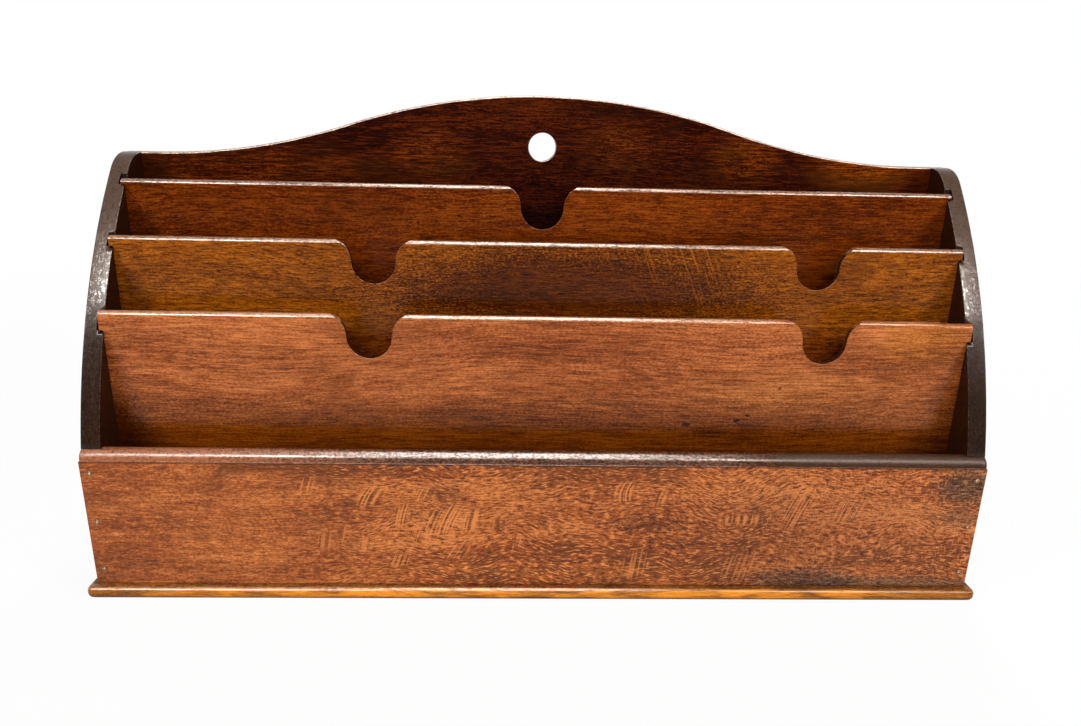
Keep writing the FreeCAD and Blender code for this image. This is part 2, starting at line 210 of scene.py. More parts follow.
class Term:
    """A number that varies over a surface and takes part in Python arithmetic."""

    def __init__(self, graph: "Graph", socket: bpy.types.NodeSocket) -> None:
        """Wraps an output socket of a graph's node."""
        self.graph = graph
        self.socket = socket

    def __add__(self, other: "Term | float") -> "Term":
        """Returns the sum."""
        return self.graph.maths("ADD", self, other)

    __radd__ = __add__

    def __sub__(self, other: "Term | float") -> "Term":
        """Returns the difference."""
        return self.graph.maths("SUBTRACT", self, other)

    def __rsub__(self, other: float) -> "Term":
        """Returns a number less this term."""
        return self.graph.maths("SUBTRACT", other, self)

    def __mul__(self, other: "Term | float") -> "Term":
        """Returns the product."""
        return self.graph.maths("MULTIPLY", self, other)

    __rmul__ = __mul__

    def __truediv__(self, other: "Term | float") -> "Term":
        """Returns the quotient."""
        return self.graph.maths("DIVIDE", self, other)

    def __pow__(self, power: float) -> "Term":
        """Returns a power of this term."""
        return self.graph.maths("POWER", self, power)

    def __abs__(self) -> "Term":
        """Returns the size of this term."""
        return self.graph.maths("ABSOLUTE", self, 0.0)

    def __neg__(self) -> "Term":
        """Returns this term with its sign changed."""
        return 0 - self

    def swing(self, amount: float) -> "Term":
        """Returns noise from 0 to 1 as a swing to both sides of 0, the amount from end to end."""
        return (self - 0.5) * amount

    def most(self, other: "Term | float") -> "Term":
        """Returns the greater of two terms."""
        return self.graph.maths("MAXIMUM", self, other)

    def rise(self, low: float, high: float) -> "Term":
        """Returns a smooth step from 0 at low to 1 at high, or down where low is the higher.

        Args:
            low: Where the step is 0.
            high: Where it is 1.

        Returns:
            The step.
        """
        made = self.graph.node("ShaderNodeMapRange", {"interpolation_type": "SMOOTHSTEP"},
                               {"Value": self, "From Min": low, "From Max": high})
        return Term(self.graph, made.outputs["Result"])


class Graph:
    """The node tree of a material or a world, with the few steps that the finishes are written in."""

    def __init__(self, owner: bpy.types.Material | bpy.types.World) -> None:
        """Empties the owner's node tree and reads places and directions on the surface.

        Args:
            owner: The material or world that the tree belongs to.
        """
        owner.use_nodes = True
        self.owner = owner
        self.tree = owner.node_tree
        self.tree.nodes.clear()
        self.coords = self.node("ShaderNodeTexCoord").outputs["Object"]
        self.x, self.y, self.z = self.split(self.coords)
        geometry = self.node("ShaderNodeNewGeometry")
        self.facing_x, self.facing_y, self.facing_z = self.split(geometry.outputs["Normal"])

    def node(self, kind: str, settings: dict | None = None,
             sockets: dict | None = None) -> bpy.types.Node:
        """Adds a node.

        Args:
            kind: The node's type.
            settings: Its settings, among them a ramp's stops, which are set first.
            sockets: Values or links of its input sockets, by name or number.

        Returns:
            The node.
        """
        made = self.tree.nodes.new(kind)
        for name, value in (settings or {}).items():
            if name == "stops":
                self.set_stops(made.color_ramp, value)
            else:
                setattr(made, name, value)
        for key, value in (sockets or {}).items():
            self.feed(made.inputs[key], value)
        return made

    @staticmethod
    def set_stops(ramp: bpy.types.ColorRamp, stops: list[tuple[float, Colour]]) -> None:
        """Gives a colour ramp its stops, each a position and a colour.

        Args:
            ramp: The ramp, with its first two stops.
            stops: The positions and colours.
        """
        for _ in stops[2:]:
            ramp.elements.new(0.5)
        for element, (position, colour) in zip(ramp.elements, stops):
            element.position = position
            element.color = (*colour, 1.0)

    def feed(self, socket: bpy.types.NodeSocket, value: object) -> None:
        """Links a term or a socket to an input socket, or sets a plain value or colour on it.

        Args:
            socket: The input socket.
            value: A term, an output socket, a number or a colour.
        """
        if isinstance(value, Term):
            value = value.socket
        if isinstance(value, bpy.types.NodeSocket):
            self.tree.links.new(value, socket)
        elif isinstance(value, tuple) and len(value) == 3 and socket.type == "RGBA":
            socket.default_value = (*value, 1.0)
        else:
            socket.default_value = value

    def maths(self, operation: str, first: Term | float, second: Term | float) -> Term:
        """Returns one arithmetic step on two numbers."""
        made = self.node("ShaderNodeMath", {"operation": operation}, {0: first, 1: second})
        return Term(self, made.outputs[0])

    def split(self, vector: bpy.types.NodeSocket) -> tuple[Term, Term, Term]:
        """Returns the three parts of a vector."""
        made = self.node("ShaderNodeSeparateXYZ", None, {0: vector})
        return Term(self, made.outputs[0]), Term(self, made.outputs[1]), Term(self, made.outputs[2])

    def vector(self, x: Term | float, y: Term | float, z: Term | float) -> bpy.types.NodeSocket:
        """Returns a vector of three parts."""
        return self.node("ShaderNodeCombineXYZ", None, {0: x, 1: y, 2: z}).outputs[0]

    def shift(self, vector: bpy.types.NodeSocket, offset: object) -> bpy.types.NodeSocket:
        """Returns a vector moved by another."""
        return self.node("ShaderNodeVectorMath", {"operation": "ADD"}, {0: vector, 1: offset}).outputs[0]

    def scaled(self, rates: Rates, vector: bpy.types.NodeSocket | None = None) -> bpy.types.NodeSocket:
        """Returns a vector or colour, else the object coordinates, times one rate per axis."""
        return self.node("ShaderNodeVectorMath", {"operation": "MULTIPLY"},
                         {0: vector or self.coords, 1: rates}).outputs[0]

    def cloud(self, vector: bpy.types.NodeSocket, detail: float = 2.0, roughness: float = 0.5,
              distortion: float = 0.0) -> Term:
        """Returns soft noise from about 0 to 1.

        Args:
            vector: Where the noise is read, one feature per unit.
            detail: How many finer layers it has.
            roughness: How strong those are.
            distortion: How far it is stirred.

        Returns:
            The noise.
        """
        made = self.node("ShaderNodeTexNoise", {"noise_dimensions": "3D"},
                         {"Vector": vector, "Scale": 1.0, "Detail": detail,
                          "Roughness": roughness, "Distortion": distortion})
        return Term(self, made.outputs["Fac"])

    def blend(self, amount: Term | float, under: object, over: object) -> bpy.types.NodeSocket:
        """Lays one colour over another.

        Args:
            amount: How much of the upper colour shows, from 0 to 1.
            under: The lower colour.
            over: The upper colour.

        Returns:
            The blended colour.
        """
        made = self.node("ShaderNodeMix", {"data_type": "RGBA", "clamp_factor": True},
                         {0: amount, 6: under, 7: over})
        return made.outputs[2]

    def ramp(self, amount: Term, stops: list[tuple[float, Colour]]) -> bpy.types.NodeSocket:
        """Returns the colour of a ramp at an amount from 0 to 1."""
        return self.node("ShaderNodeValToRGB", {"stops": stops}, {0: amount}).outputs[0]

    def flatness(self) -> Term:
        """Returns how nearly the surface faces along one axis: 1 on the flats, less on an arris."""
        return abs(self.facing_x).most(abs(self.facing_y)).most(abs(self.facing_z))

    def behind(self) -> Term:
        """Returns where the surface faces backwards."""
        return self.facing_y.rise(0.2, 0.6)

    def finish(self, colour: object, roughness: Term, height: Term, depth: float,
               others: dict) -> bpy.types.Material:
        """Ends the tree in one shader.

        Args:
            colour: The base colour.
            roughness: The roughness.
            height: The relief of the surface, from about 0 to 1.
            depth: How deep that relief is, in metres.
            others: The shader's other sockets, by name.

        Returns:
            The material.
        """
        bump = self.node("ShaderNodeBump", None, {"Strength": 1.0, "Distance": depth, "Height": height})
        shader = self.node("ShaderNodeBsdfPrincipled", None,
                           {"Base Color": colour, "Roughness": roughness,
                            "Normal": bump.outputs[0], **others})
        self.node("ShaderNodeOutputMaterial", None, {"Surface": shader.outputs[0]})
        return self.owner


class Grain(Enum):
    """Which way the fibres of a board run: 0 for the axis along them, 1 for those across."""

    ACROSS = (0, 1, 1)
    UPRIGHT = (1, 1, 0)


@dataclass(frozen=True)
class Layer:
    """One layer of grain: features per metre along it, finer layers, a shift, and length over width."""

    rate: float
    detail: float
    offset: float
    slender: float

    def drawn_out(self, length: float) -> "Layer":
        """Returns the layer with features that many times longer, and as wide as before."""
        return replace(self, rate=self.rate / length, slender=self.slender * length)


BANDS = Layer(rate=7.0, detail=2.0, offset=1.9, slender=6.0)
STREAKS = Layer(rate=50.0, detail=3.0, offset=0.7, slender=10.0)
FINE_LINES = Layer(rate=180.0, detail=2.0, offset=0.0, slender=8.0)


def ragged_oval(across: Term, up: Term, speckle: Term, ragged: float) -> Term:
    """Returns how far out a place lies in an oval, 1 at its edge.

    Args:
        across: The distance across, over the oval's half width.
        up: The distance up, over the oval's half height.
        speckle: Noise that breaks the edge.
        ragged: How much it does.

    Returns:
        The distance from the middle.
    """
    return (across * across + up * up) ** 0.5 + speckle.swing(ragged)


@dataclass(frozen=True)
class Patch:
    """An oval patch on the face of a board, where the stain took lighter or darker, or where a shadow is
    painted.
    """

    x: float
    z: float
    half_width: float
    half_height: float
    tint: Colour
    amount: float
    ragged: float = 1.6
    fade: Span = (1.15, 0.45)

    def lay(self, graph: Graph, colour: object, speckle: Term) -> bpy.types.NodeSocket:
        """Lays the patch on a colour, which it multiplies.

        Args:
            graph: The tree that it is drawn in.
            colour: The colour under it.
            speckle: Noise that breaks its edge.

        Returns:
            The colour with the patch on it.
        """
        across = (graph.x - self.x) / self.half_width
        up = (graph.z - self.z) / self.half_height
        inside = ragged_oval(across, up, speckle, self.ragged).rise(*self.fade)
        return graph.blend(inside * self.amount, colour, graph.scaled(self.tint, colour))


@dataclass(frozen=True)
class Fleck:
    """A bundle of bright ray flecks, side by side, that lean and bend together."""

    x: float
    z: float
    half_width: float
    half_height: float
    lean: float
    bend: float
    pitch: float
    amount: float
    shuffle: float = 90.0
    waver: float = 30.0
    ragged: float = 1.3
    fade: Span = (1.15, 0.55)
    gaps: Span = (0.48, 0.38)
    gap_share: float = 0.7
    rays: Span = (0.51, 0.60)

    def lay(self, graph: Graph, colour: object, light: Colour, deep: Colour,
            speckle: Term) -> bpy.types.NodeSocket:
        """Lays the flecks on a colour, dark between them.

        Args:
            graph: The tree that they are drawn in.
            colour: The colour under them.
            light: The colour of the flecks.
            deep: The colour between them.
            speckle: Noise that breaks their ends.

        Returns:
            The colour with the flecks on it.
        """
        up = graph.z - self.z
        along = graph.x - self.x - up * self.lean - up * up * self.bend
        place = graph.vector(along / self.pitch, self.x * self.shuffle, up * self.waver)
        lines = graph.cloud(place, 1.0)
        across, height = along / self.half_width, up / self.half_height
        inside = ragged_oval(across, height, speckle, self.ragged).rise(*self.fade)
        dark = lines.rise(*self.gaps) * inside * self.amount * self.gap_share
        colour = graph.blend(dark, colour, deep)
        return graph.blend(lines.rise(*self.rays) * inside * self.amount, colour, light)


@dataclass(frozen=True)
class Wood:
    """Stained, waxed and handled wood. Each kind of board adds its own figure and worn places."""

    name: str
    deep: Colour
    body: Colour
    light: Colour
    stain: Colour
    stain_amount: float
    worn: Colour
    worn_amount: float
    grain: Grain = Grain.ACROSS
    roughness: float = 0.22
    specular: float = 0.4
    dashes: float = 0.6
    dash_rate: float = 280.0
    bands: float = 1.0
    streaks: float = 0.8
    lines: float = 1.6
    grit: float = 1.3
    length: float = 1.0
    coat_roughness: float = 0.28
    relief: float = 0.00004
    seed: float = 0.0
    patches: tuple[Patch, ...] = ()
    grit_rates: Rates = (800.0, 800.0, 1500.0)
    blotch_rates: Rates = (20.0, 20.0, 38.0)
    sway_rates: Rates = (8.0, 8.0, 14.0)
    sway_reach: float = 0.012
    seed_steps: Span = (0.37, 0.23)
    tone_stops: tuple[float, ...] = (0.05, 0.50, 0.95)
    # Colour of soiling, and of the painted shade that most boards lay in creases and recesses.
    dirt_and_shade_colour: Colour = (0.006, 0.004, 0.003)

    def fibres(self, graph: Graph, layer: Layer) -> Term:
        """Returns noise drawn out along the grain, which wanders a little.

        Args:
            graph: The tree that it is drawn in.
            layer: The layer of grain that it stands for.

        Returns:
            The noise.
        """
        sway = graph.cloud(graph.scaled(self.sway_rates), 1.0).swing(self.sway_reach)
        along, aside = (step * self.seed for step in self.seed_steps)
        moved = graph.shift(graph.coords, graph.vector(along + layer.offset, sway, sway + aside))
        rates = tuple(layer.rate * layer.slender ** across for across in self.grain.value)
        return graph.cloud(graph.scaled(rates, moved), layer.detail, roughness=0.65, distortion=0.2)

    @cache
    def material(self) -> bpy.types.Material:
        """Returns the finished material.

        Returns:
            The material, drawn once and then kept.
        """
        graph = Graph(bpy.data.materials.new(self.name))
        streaks = self.fibres(graph, STREAKS.drawn_out(self.length))
        fine = self.fibres(graph, FINE_LINES.drawn_out(self.length))
        speckle = graph.cloud(graph.scaled(self.grit_rates), 2.0, 0.6)
        colour = self.figure(graph, self.grained(graph, streaks, fine, speckle), speckle)
        for patch in self.patches:
            colour = patch.lay(graph, colour, speckle)
        # Worn places, and on the back board's crest a painted highlight as well.
        colour = graph.blend(self.wear_and_highlight(graph, speckle, streaks) * self.worn_amount, colour, self.worn)
        # Soiling, and on most boards painted shade in creases, recesses and under overhangs.
        colour = graph.blend(self.dirt_and_shade_mask(graph, speckle), colour, self.dirt_and_shade_colour)
        roughness = self.roughness + self.dullness(graph) + fine.swing(0.10) + speckle.swing(0.12)
        height = streaks * 0.7 + speckle * 0.3
        polish = self.polish(graph) * (speckle * 0.7 + fine * 0.6).rise(0.45, 0.78)
        return graph.finish(colour, roughness, height, self.relief, {
            "Specular IOR Level": self.specular, "Coat Weight": polish,
            "Coat Roughness": self.coat_roughness})

    def grained(self, graph: Graph, streaks: Term, fine: Term, speckle: Term) -> bpy.types.NodeSocket:
        """Returns the colour of the grain, with short dashes and blotches of stain in it.

        Args:
            graph: The tree that it is drawn in.
            streaks: The streaks of the grain.
            fine: Its finest lines.
            speckle: The grit of the wood.

        Returns:
            The colour.
        """
        tone = 0.5 + self.fibres(graph, BANDS).swing(self.bands) + streaks.swing(self.streaks)
        tone = tone + fine.swing(self.lines) + speckle.swing(self.grit)
        colour = graph.ramp(tone, list(zip(self.tone_stops, (self.deep, self.body, self.light))))
        pale = Layer(rate=self.dash_rate, detail=1.0, offset=5.7, slender=7.0).drawn_out(self.length)
        dark = Layer(rate=self.dash_rate * 0.9, detail=1.0, offset=4.3, slender=8.0).drawn_out(self.length)
        pale_dashes = self.fibres(graph, pale).rise(0.55, 0.65)
        dark_dashes = self.fibres(graph, dark).rise(0.57, 0.66)
        colour = graph.blend(pale_dashes * self.dashes * 0.6, colour, self.light)
        colour = graph.blend(dark_dashes * self.dashes, colour, self.deep)
        blotch = graph.cloud(graph.scaled(self.blotch_rates), 4.0, 0.65, 0.8)
        return graph.blend(blotch.rise(0.48, 0.68) * self.stain_amount, colour, self.stain)

    def polish(self, graph: Graph) -> Term:
        """Returns where hands and cloths have polished the wood, here along the arrises."""
        return graph.flatness().rise(0.985, 0.88)

    def dullness(self, graph: Graph) -> Term | float:
        """Returns how much rougher the wood is in places, here nowhere."""
        return 0.0

    def figure(self, graph: Graph, colour: object, speckle: Term) -> object:
        """Returns the colour with the board's own figure laid on it, here none."""
        return colour

    def wear_and_highlight(self, graph: Graph, speckle: Term, streaks: Term) -> Term:
        """Returns where the stain has worn off, here along every arris."""
        return graph.flatness().rise(0.985, 0.86) * (speckle + streaks * 0.5).rise(0.45, 0.85)

    def dirt_and_shade_mask(self, graph: Graph, speckle: Term) -> Term:
        """Returns where soil has settled, here nowhere to speak of."""
        return speckle.rise(0.80, 0.95) * 0.2


@dataclass(frozen=True)
class FrontWood(Wood):
    """Flecked wood of the front board, dark and polished on its rounded top edge."""

    nose_foot: float = 0.0629
    foot: float = 0.0056
    flecks: tuple[Fleck, ...] = ()
    # Colour of the painted shade on the back face.
    rear: Colour = (0.030, 0.007, 0.001)
    nose_dark: Colour = (0.034, 0.013, 0.005)
    nose_bare: Colour = (0.360, 0.115, 0.042)
    swirl_rates: Rates = (22.0, 22.0, 34.0)
    swirl_reach: float = 0.026
    curl_rates: Rates = (300.0, 100.0, 1500.0)
    upright_rates: Rates = (1100.0, 300.0, 380.0)
    curl_start: Span = (-0.13, -0.05)
    upright_start: Span = (0.06, 0.12)
    bare_left: Span = (-0.04, -0.15)
    dark_right: Span = (0.075, 0.11)
    polish_left: Span = (-0.08, -0.15)
    polish_right: Span = (0.098, 0.074)
    dull_left: Span = (-0.10, -0.17)
    dull_right: Span = (0.085, 0.12)

    def figure(self, graph: Graph, colour: object, speckle: Term) -> object:
        """Lays curled lines on the face, then the flecks, paints shade on the back, and darkens the top
        edge.

        Args:
            graph: The tree that it is drawn in.
            colour: The colour under it.
            speckle: The grit of the wood.

        Returns:
            The colour with the figure on it.
        """
        swirl = graph.cloud(graph.scaled(self.swirl_rates), 1.0).swing(self.swirl_reach)
        curled = graph.vector(graph.x, graph.y, graph.z + swirl)
        lines = graph.cloud(graph.scaled(self.curl_rates, curled), 1.0)
        upright = graph.cloud(graph.scaled(self.upright_rates), 1.0, 0.5, 0.5).rise(0.58, 0.70)
        amount = 0.25 + graph.x.rise(*self.curl_start) * 0.70
        colour = graph.blend(lines.rise(0.45, 0.33) * amount, colour, self.deep)
        colour = graph.blend(lines.rise(0.56, 0.67) * amount, colour, self.light)
        colour = graph.blend(upright * graph.x.rise(*self.upright_start) * 0.5, colour, self.light)
        for fleck in self.flecks:
            colour = fleck.lay(graph, colour, self.light, self.deep, speckle)
        # Painted shade on the back face.
        colour = graph.blend(graph.behind() * 0.8, colour, self.rear)
        bare = (graph.x.rise(*self.bare_left) * 0.28 + speckle).rise(0.36, 0.95)
        bare = bare * (1 - graph.x.rise(*self.dark_right) * 0.78)
        return graph.blend(self.nose(graph), colour, graph.blend(bare, self.nose_dark, self.nose_bare))

    def nose(self, graph: Graph) -> Term:
        """Returns where the rounded top edge is."""
        return graph.z.rise(self.nose_foot - 0.0004, self.nose_foot + 0.0002)

    def polish(self, graph: Graph) -> Term:
        """Returns the polished top edge, duller towards the left and dull on the right."""
        middle = graph.x.rise(*self.polish_right) * (0.97 - graph.x.rise(*self.polish_left) * 0.50)
        return self.nose(graph) * (0.03 + middle)

    def dullness(self, graph: Graph) -> Term:
        """Returns the dull ends of the top edge."""
        ends = graph.x.rise(*self.dull_right) * 0.18 + graph.x.rise(*self.dull_left) * 0.12
        return self.nose(graph) * ends

    def wear_and_highlight(self, graph: Graph, speckle: Term, streaks: Term) -> Term:
        """Returns the worn arrises below the top edge."""
        return super().wear_and_highlight(graph, speckle, streaks) * (1 - self.nose(graph))

    def dirt_and_shade_mask(self, graph: Graph, speckle: Term) -> Term:
        """Returns the painted shadow in the step under the top edge, and the dark joint line along the
        base.

        Args:
            graph: The tree that it is drawn in.
            speckle: The grit of the wood.

        Returns:
            How dark the painted shadow and the joint make it, from 0 to 1.
        """
        # Painted shadow under the overhanging step of the top edge.
        step = graph.z.rise(self.nose_foot - 0.0012, self.nose_foot - 0.0003) * (1 - self.nose(graph))
        base = graph.z.rise(self.foot + 0.0009, self.foot + 0.0002)
        return (step * 0.7 + base * 0.5) * (0.5 + speckle * 0.7)


@dataclass(frozen=True)
class DividerWood(Wood):
    """Wood of a thin divider, rubbed pale along its rounded top edge, with painted light and shade at its
    foot and painted shade on its back.
    """

    top: float = 0.1214
    scratches: float = 0.0
    # Where, how strongly and in what tint light and shade are painted on the foot: painted shade on the
    # front divider, painted light on the middle and rear ones where they show through the notches.
    foot: Span = (0.100, 0.062)
    foot_light_and_shade_amount: float = 0.9
    foot_light_and_shade_tint: Colour = (0.5, 0.4, 0.3)
    band_end: float = 0.2
    band_fade: float = 0.004
    foot_ragged: float = 0.01
    scratch_slope: float = 0.42
    scratch_rates: Rates = (900.0, 100.0, 45.0)
    scratch_left: Span = (0.02, 0.05)
    scratch_right: Span = (0.09, 0.07)

    def figure(self, graph: Graph, colour: object, speckle: Term) -> object:
        """Lays slanting scratches right of the middle, paints light and shade on the foot and paints shade
        on the back.

        Args:
            graph: The tree that it is drawn in.
            colour: The colour under it.
            speckle: The grit of the wood.

        Returns:
            The colour with the figure on it.
        """
        slanted = graph.vector(graph.x + graph.z * self.scratch_slope, graph.y, graph.z)
        lines = graph.cloud(graph.scaled(self.scratch_rates, slanted), 1.0).rise(0.58, 0.66)
        place = graph.x.rise(*self.scratch_left) * graph.x.rise(*self.scratch_right)
        place = place * graph.z.rise(self.top - 0.03, self.top - 0.02)
        colour = graph.blend(lines * place * self.scratches, colour, self.light)
        # Painted light and shade on the foot: a dark tint paints shade, a pale tint paints light.
        foot = (graph.z + speckle.swing(self.foot_ragged)).rise(*self.foot)
        colour = graph.blend(foot * self.foot_light_and_shade_amount, colour, graph.scaled(self.foot_light_and_shade_tint, colour))
        # Painted shade on the back face.
        return graph.blend(graph.behind() * 0.7, colour, self.deep)

    def edge(self, graph: Graph) -> Term:
        """Returns the rounded top edge."""
        return graph.facing_z.rise(0.10, 0.40) * graph.z.rise(self.top - 0.0036, self.top - 0.0022)

    def band(self, graph: Graph) -> Term:
        """Returns the length of the top edge that hands have rubbed."""
        return graph.x.rise(self.band_end + self.band_fade, self.band_end - self.band_fade)

    def polish(self, graph: Graph) -> Term:
        """Returns the polished top edge."""
        return self.edge(graph) * (0.1 + self.band(graph) * 0.9)

    def wear_and_highlight(self, graph: Graph, speckle: Term, streaks: Term) -> Term:
        """Returns the pale top edge and the worn rims of the notches.

        Args:
            graph: The tree that it is drawn in.
            speckle: The grit of the wood.
            streaks: The streaks of its grain.

        Returns:
            How far the stain is gone, from 0 to 1.
        """
        upward = self.edge(graph)
        side = abs(graph.facing_y)
        rim = side.rise(0.25, 0.55) * side.rise(0.97, 0.80)
        broken = (speckle + streaks * 0.6).rise(0.58, 0.98)
        return upward * self.band(graph) * (0.25 + broken * 0.75) + rim * broken * 0.5 * (1 - upward)

    def dirt_and_shade_mask(self, graph: Graph, speckle: Term) -> Term:
        """Returns the painted shade on the walls of the notches."""
        # Painted shade on the faces that face neither front nor back, below the rounded top edge.
        return abs(graph.facing_y).rise(0.30, 0.08) * (1 - self.edge(graph)) * 0.85


@dataclass(frozen=True)
class BackWood(Wood):
    """Dark wood of the back, rubbed pale along the crest, where a highlight is painted too."""

    rear_tint: Colour = (2.8, 9.0, 40.0)

    def figure(self, graph: Graph, colour: object, speckle: Term) -> object:
        """Browns the rear face, which was stained but never polished."""
        browned = graph.behind() * (0.6 + speckle * 0.4)
        return graph.blend(browned, colour, graph.scaled(self.rear_tint, colour))

    def crest(self, graph: Graph) -> Term:
        """Returns the top edge, strongest on its front arris."""
        front = (-graph.facing_y).rise(0.10, 0.45)
        return graph.facing_z.rise(0.05, 0.45) * (0.35 + front * 0.65)

    def polish(self, graph: Graph) -> Term:
        """Returns the polished crest."""
        return self.crest(graph)

    def wear_and_highlight(self, graph: Graph, speckle: Term, streaks: Term) -> Term:
        """Returns the pale line along the crest, partly rubbed and partly a painted highlight, and the
        worn rims elsewhere.
        """
        line = self.crest(graph) * (0.4 + (speckle + streaks * 0.6).rise(0.55, 0.95) * 0.6)
        return line.most(super().wear_and_highlight(graph, speckle, streaks) * 0.4)


@dataclass(frozen=True)
class EndWood(Wood):
    """Nearly black wood of the curved ends, with a rubbed edge."""

    edge_brown: Colour = (0.085, 0.045, 0.028)
    inner_red: Colour = (0.026, 0.006, 0.001)
    end_grain_rates: Rates = (900.0, 420.0, 420.0)
    brown_start: Span = (0.105, 0.155)
    rub_start: Span = (0.110, 0.125)
    rub_end: Span = (0.178, 0.155)
    groove_start: Span = (0.095, 0.105)

    def edge(self, graph: Graph) -> Term:
        """Returns the curved edge."""
        return abs(graph.facing_x).rise(0.5, 0.2)

    def figure(self, graph: Graph, colour: object, speckle: Term) -> object:
        """Reddens the inner face and browns the curved edge, more towards its top.

        Args:
            graph: The tree that it is drawn in.
            colour: The colour under it.
            speckle: The grit of the wood.

        Returns:
            The colour with the figure on it.
        """
        inside = (graph.facing_x * graph.x).rise(-0.05, -0.15)
        colour = graph.blend(inside * 0.7, colour, self.inner_red)
        brown = self.edge(graph) * (0.10 + graph.z.rise(*self.brown_start) * 0.85)
        return graph.blend(brown * speckle.rise(0.15, 0.50), colour, self.edge_brown)

    def polish(self, graph: Graph) -> Term:
        """Returns the polished curved edge, broken up by its end grain.

        Args:
            graph: The tree that it is drawn in.

        Returns:
            The polish, from 0 to 1.
        """
        grains = graph.cloud(graph.scaled(self.end_grain_rates), 2.0, 0.6).rise(0.48, 0.64)
        rubbed = grains * graph.z.rise(*self.rub_start) * graph.z.rise(*self.rub_end)
        return self.edge(graph) * (0.04 + rubbed * 0.85)

    def dirt_and_shade_mask(self, graph: Graph, speckle: Term) -> Term:
        """Returns the painted shade on the walls of the grooves, where they come out in the curved edge.
        """
        return (-graph.facing_y).rise(0.990, 0.998) * graph.z.rise(*self.groove_start) * 0.9

    def wear_and_highlight(self, graph: Graph, speckle: Term, streaks: Term) -> Term:
        """Returns the worn arrises on both sides of the curved edge."""
        side = abs(graph.facing_x)
        return side.rise(0.30, 0.60) * side.rise(0.985, 0.85) * speckle.rise(0.40, 0.70) * 0.6


@dataclass(frozen=True)
class BaseWood(Wood):
    """Wood of the base, rubbed golden along its rounded edge."""

    compartment_floor_shade: Colour = (0.022, 0.006, 0.001)
    floor_start: Span = (-0.0385, -0.0365)
    nosing_start: Span = (-0.0385, -0.0395)
    polish_right: Span = (0.08, 0.0)
    rub_ends: Span = (0.185, 0.11)
    shadow_line: Span = (0.0024, 0.0010)

    def figure(self, graph: Graph, colour: object, speckle: Term) -> object:
        """Paints shade on the floors of the compartments."""
        inside = graph.facing_z.rise(0.5, 0.9) * graph.y.rise(*self.floor_start)
        return graph.blend(inside * 0.8, colour, self.compartment_floor_shade)

    def polish(self, graph: Graph) -> Term:
        """Returns the polished upper half of the nosing, less towards the right."""
        nosing = graph.facing_z.rise(0.25, 0.60) * graph.y.rise(*self.nosing_start)
        return nosing * (0.1 + graph.x.rise(*self.polish_right) * 0.7)

    def wear_and_highlight(self, graph: Graph, speckle: Term, streaks: Term) -> Term:
        """Returns the rubbed nosing, strongest along the middle of the front.

        Args:
            graph: The tree that it is drawn in.
            speckle: Not used.
            streaks: The streaks of its grain.

        Returns:
            How far the stain is gone, from 0 to 1.
        """
        rounded = abs(graph.facing_z).rise(0.98, 0.80)
        middle = abs(graph.x).rise(*self.rub_ends)
        return rounded * (0.30 + middle * 0.70) * (0.20 + streaks.rise(0.36, 0.62) * 0.9)

    def dirt_and_shade_mask(self, graph: Graph, speckle: Term) -> Term:
        """Returns the painted shade along the underside of the nosing."""
        return graph.z.rise(*self.shadow_line) * 0.9


@dataclass(frozen=True)
class PinMetal:
    """Dull pin heads, waxed over, dark round the rim."""

    name: str = "pin_metal"
    bright: Colour = (0.58, 0.36, 0.20)
    dull: Colour = (0.40, 0.22, 0.11)
    rim: Colour = (0.050, 0.020, 0.008)
    tarnish_rates: Rates = (1800.0, 1800.0, 1800.0)
    relief: float = 0.00003

    @cache
    def material(self) -> bpy.types.Material:
        """Returns the finished material.

        Returns:
            The material, drawn once and then kept.
        """
        graph = Graph(bpy.data.materials.new(self.name))
        tarnish = graph.cloud(graph.scaled(self.tarnish_rates), 3.0, 0.6)
        colour = graph.blend(tarnish.rise(0.42, 0.70), self.bright, self.dull)
        colour = graph.blend(graph.flatness().rise(0.96, 0.86), colour, self.rim)
        return graph.finish(colour, 0.42 + tarnish * 0.2, tarnish, self.relief, {
            "Metallic": 0.15, "Specular IOR Level": 0.3})


def new_object(name: str, shape: bmesh.types.BMesh) -> bpy.types.Object:
    """Makes an object and puts it in the scene.

    Args:
        name: Its name.
        shape: Its shape, which is freed.

    Returns:
        The object.
    """
    mesh = bpy.data.meshes.new(name)
    shape.to_mesh(mesh)
    shape.free()
    made = bpy.data.objects.new(name, mesh)
    bpy.context.scene.collection.objects.link(made)
    return made


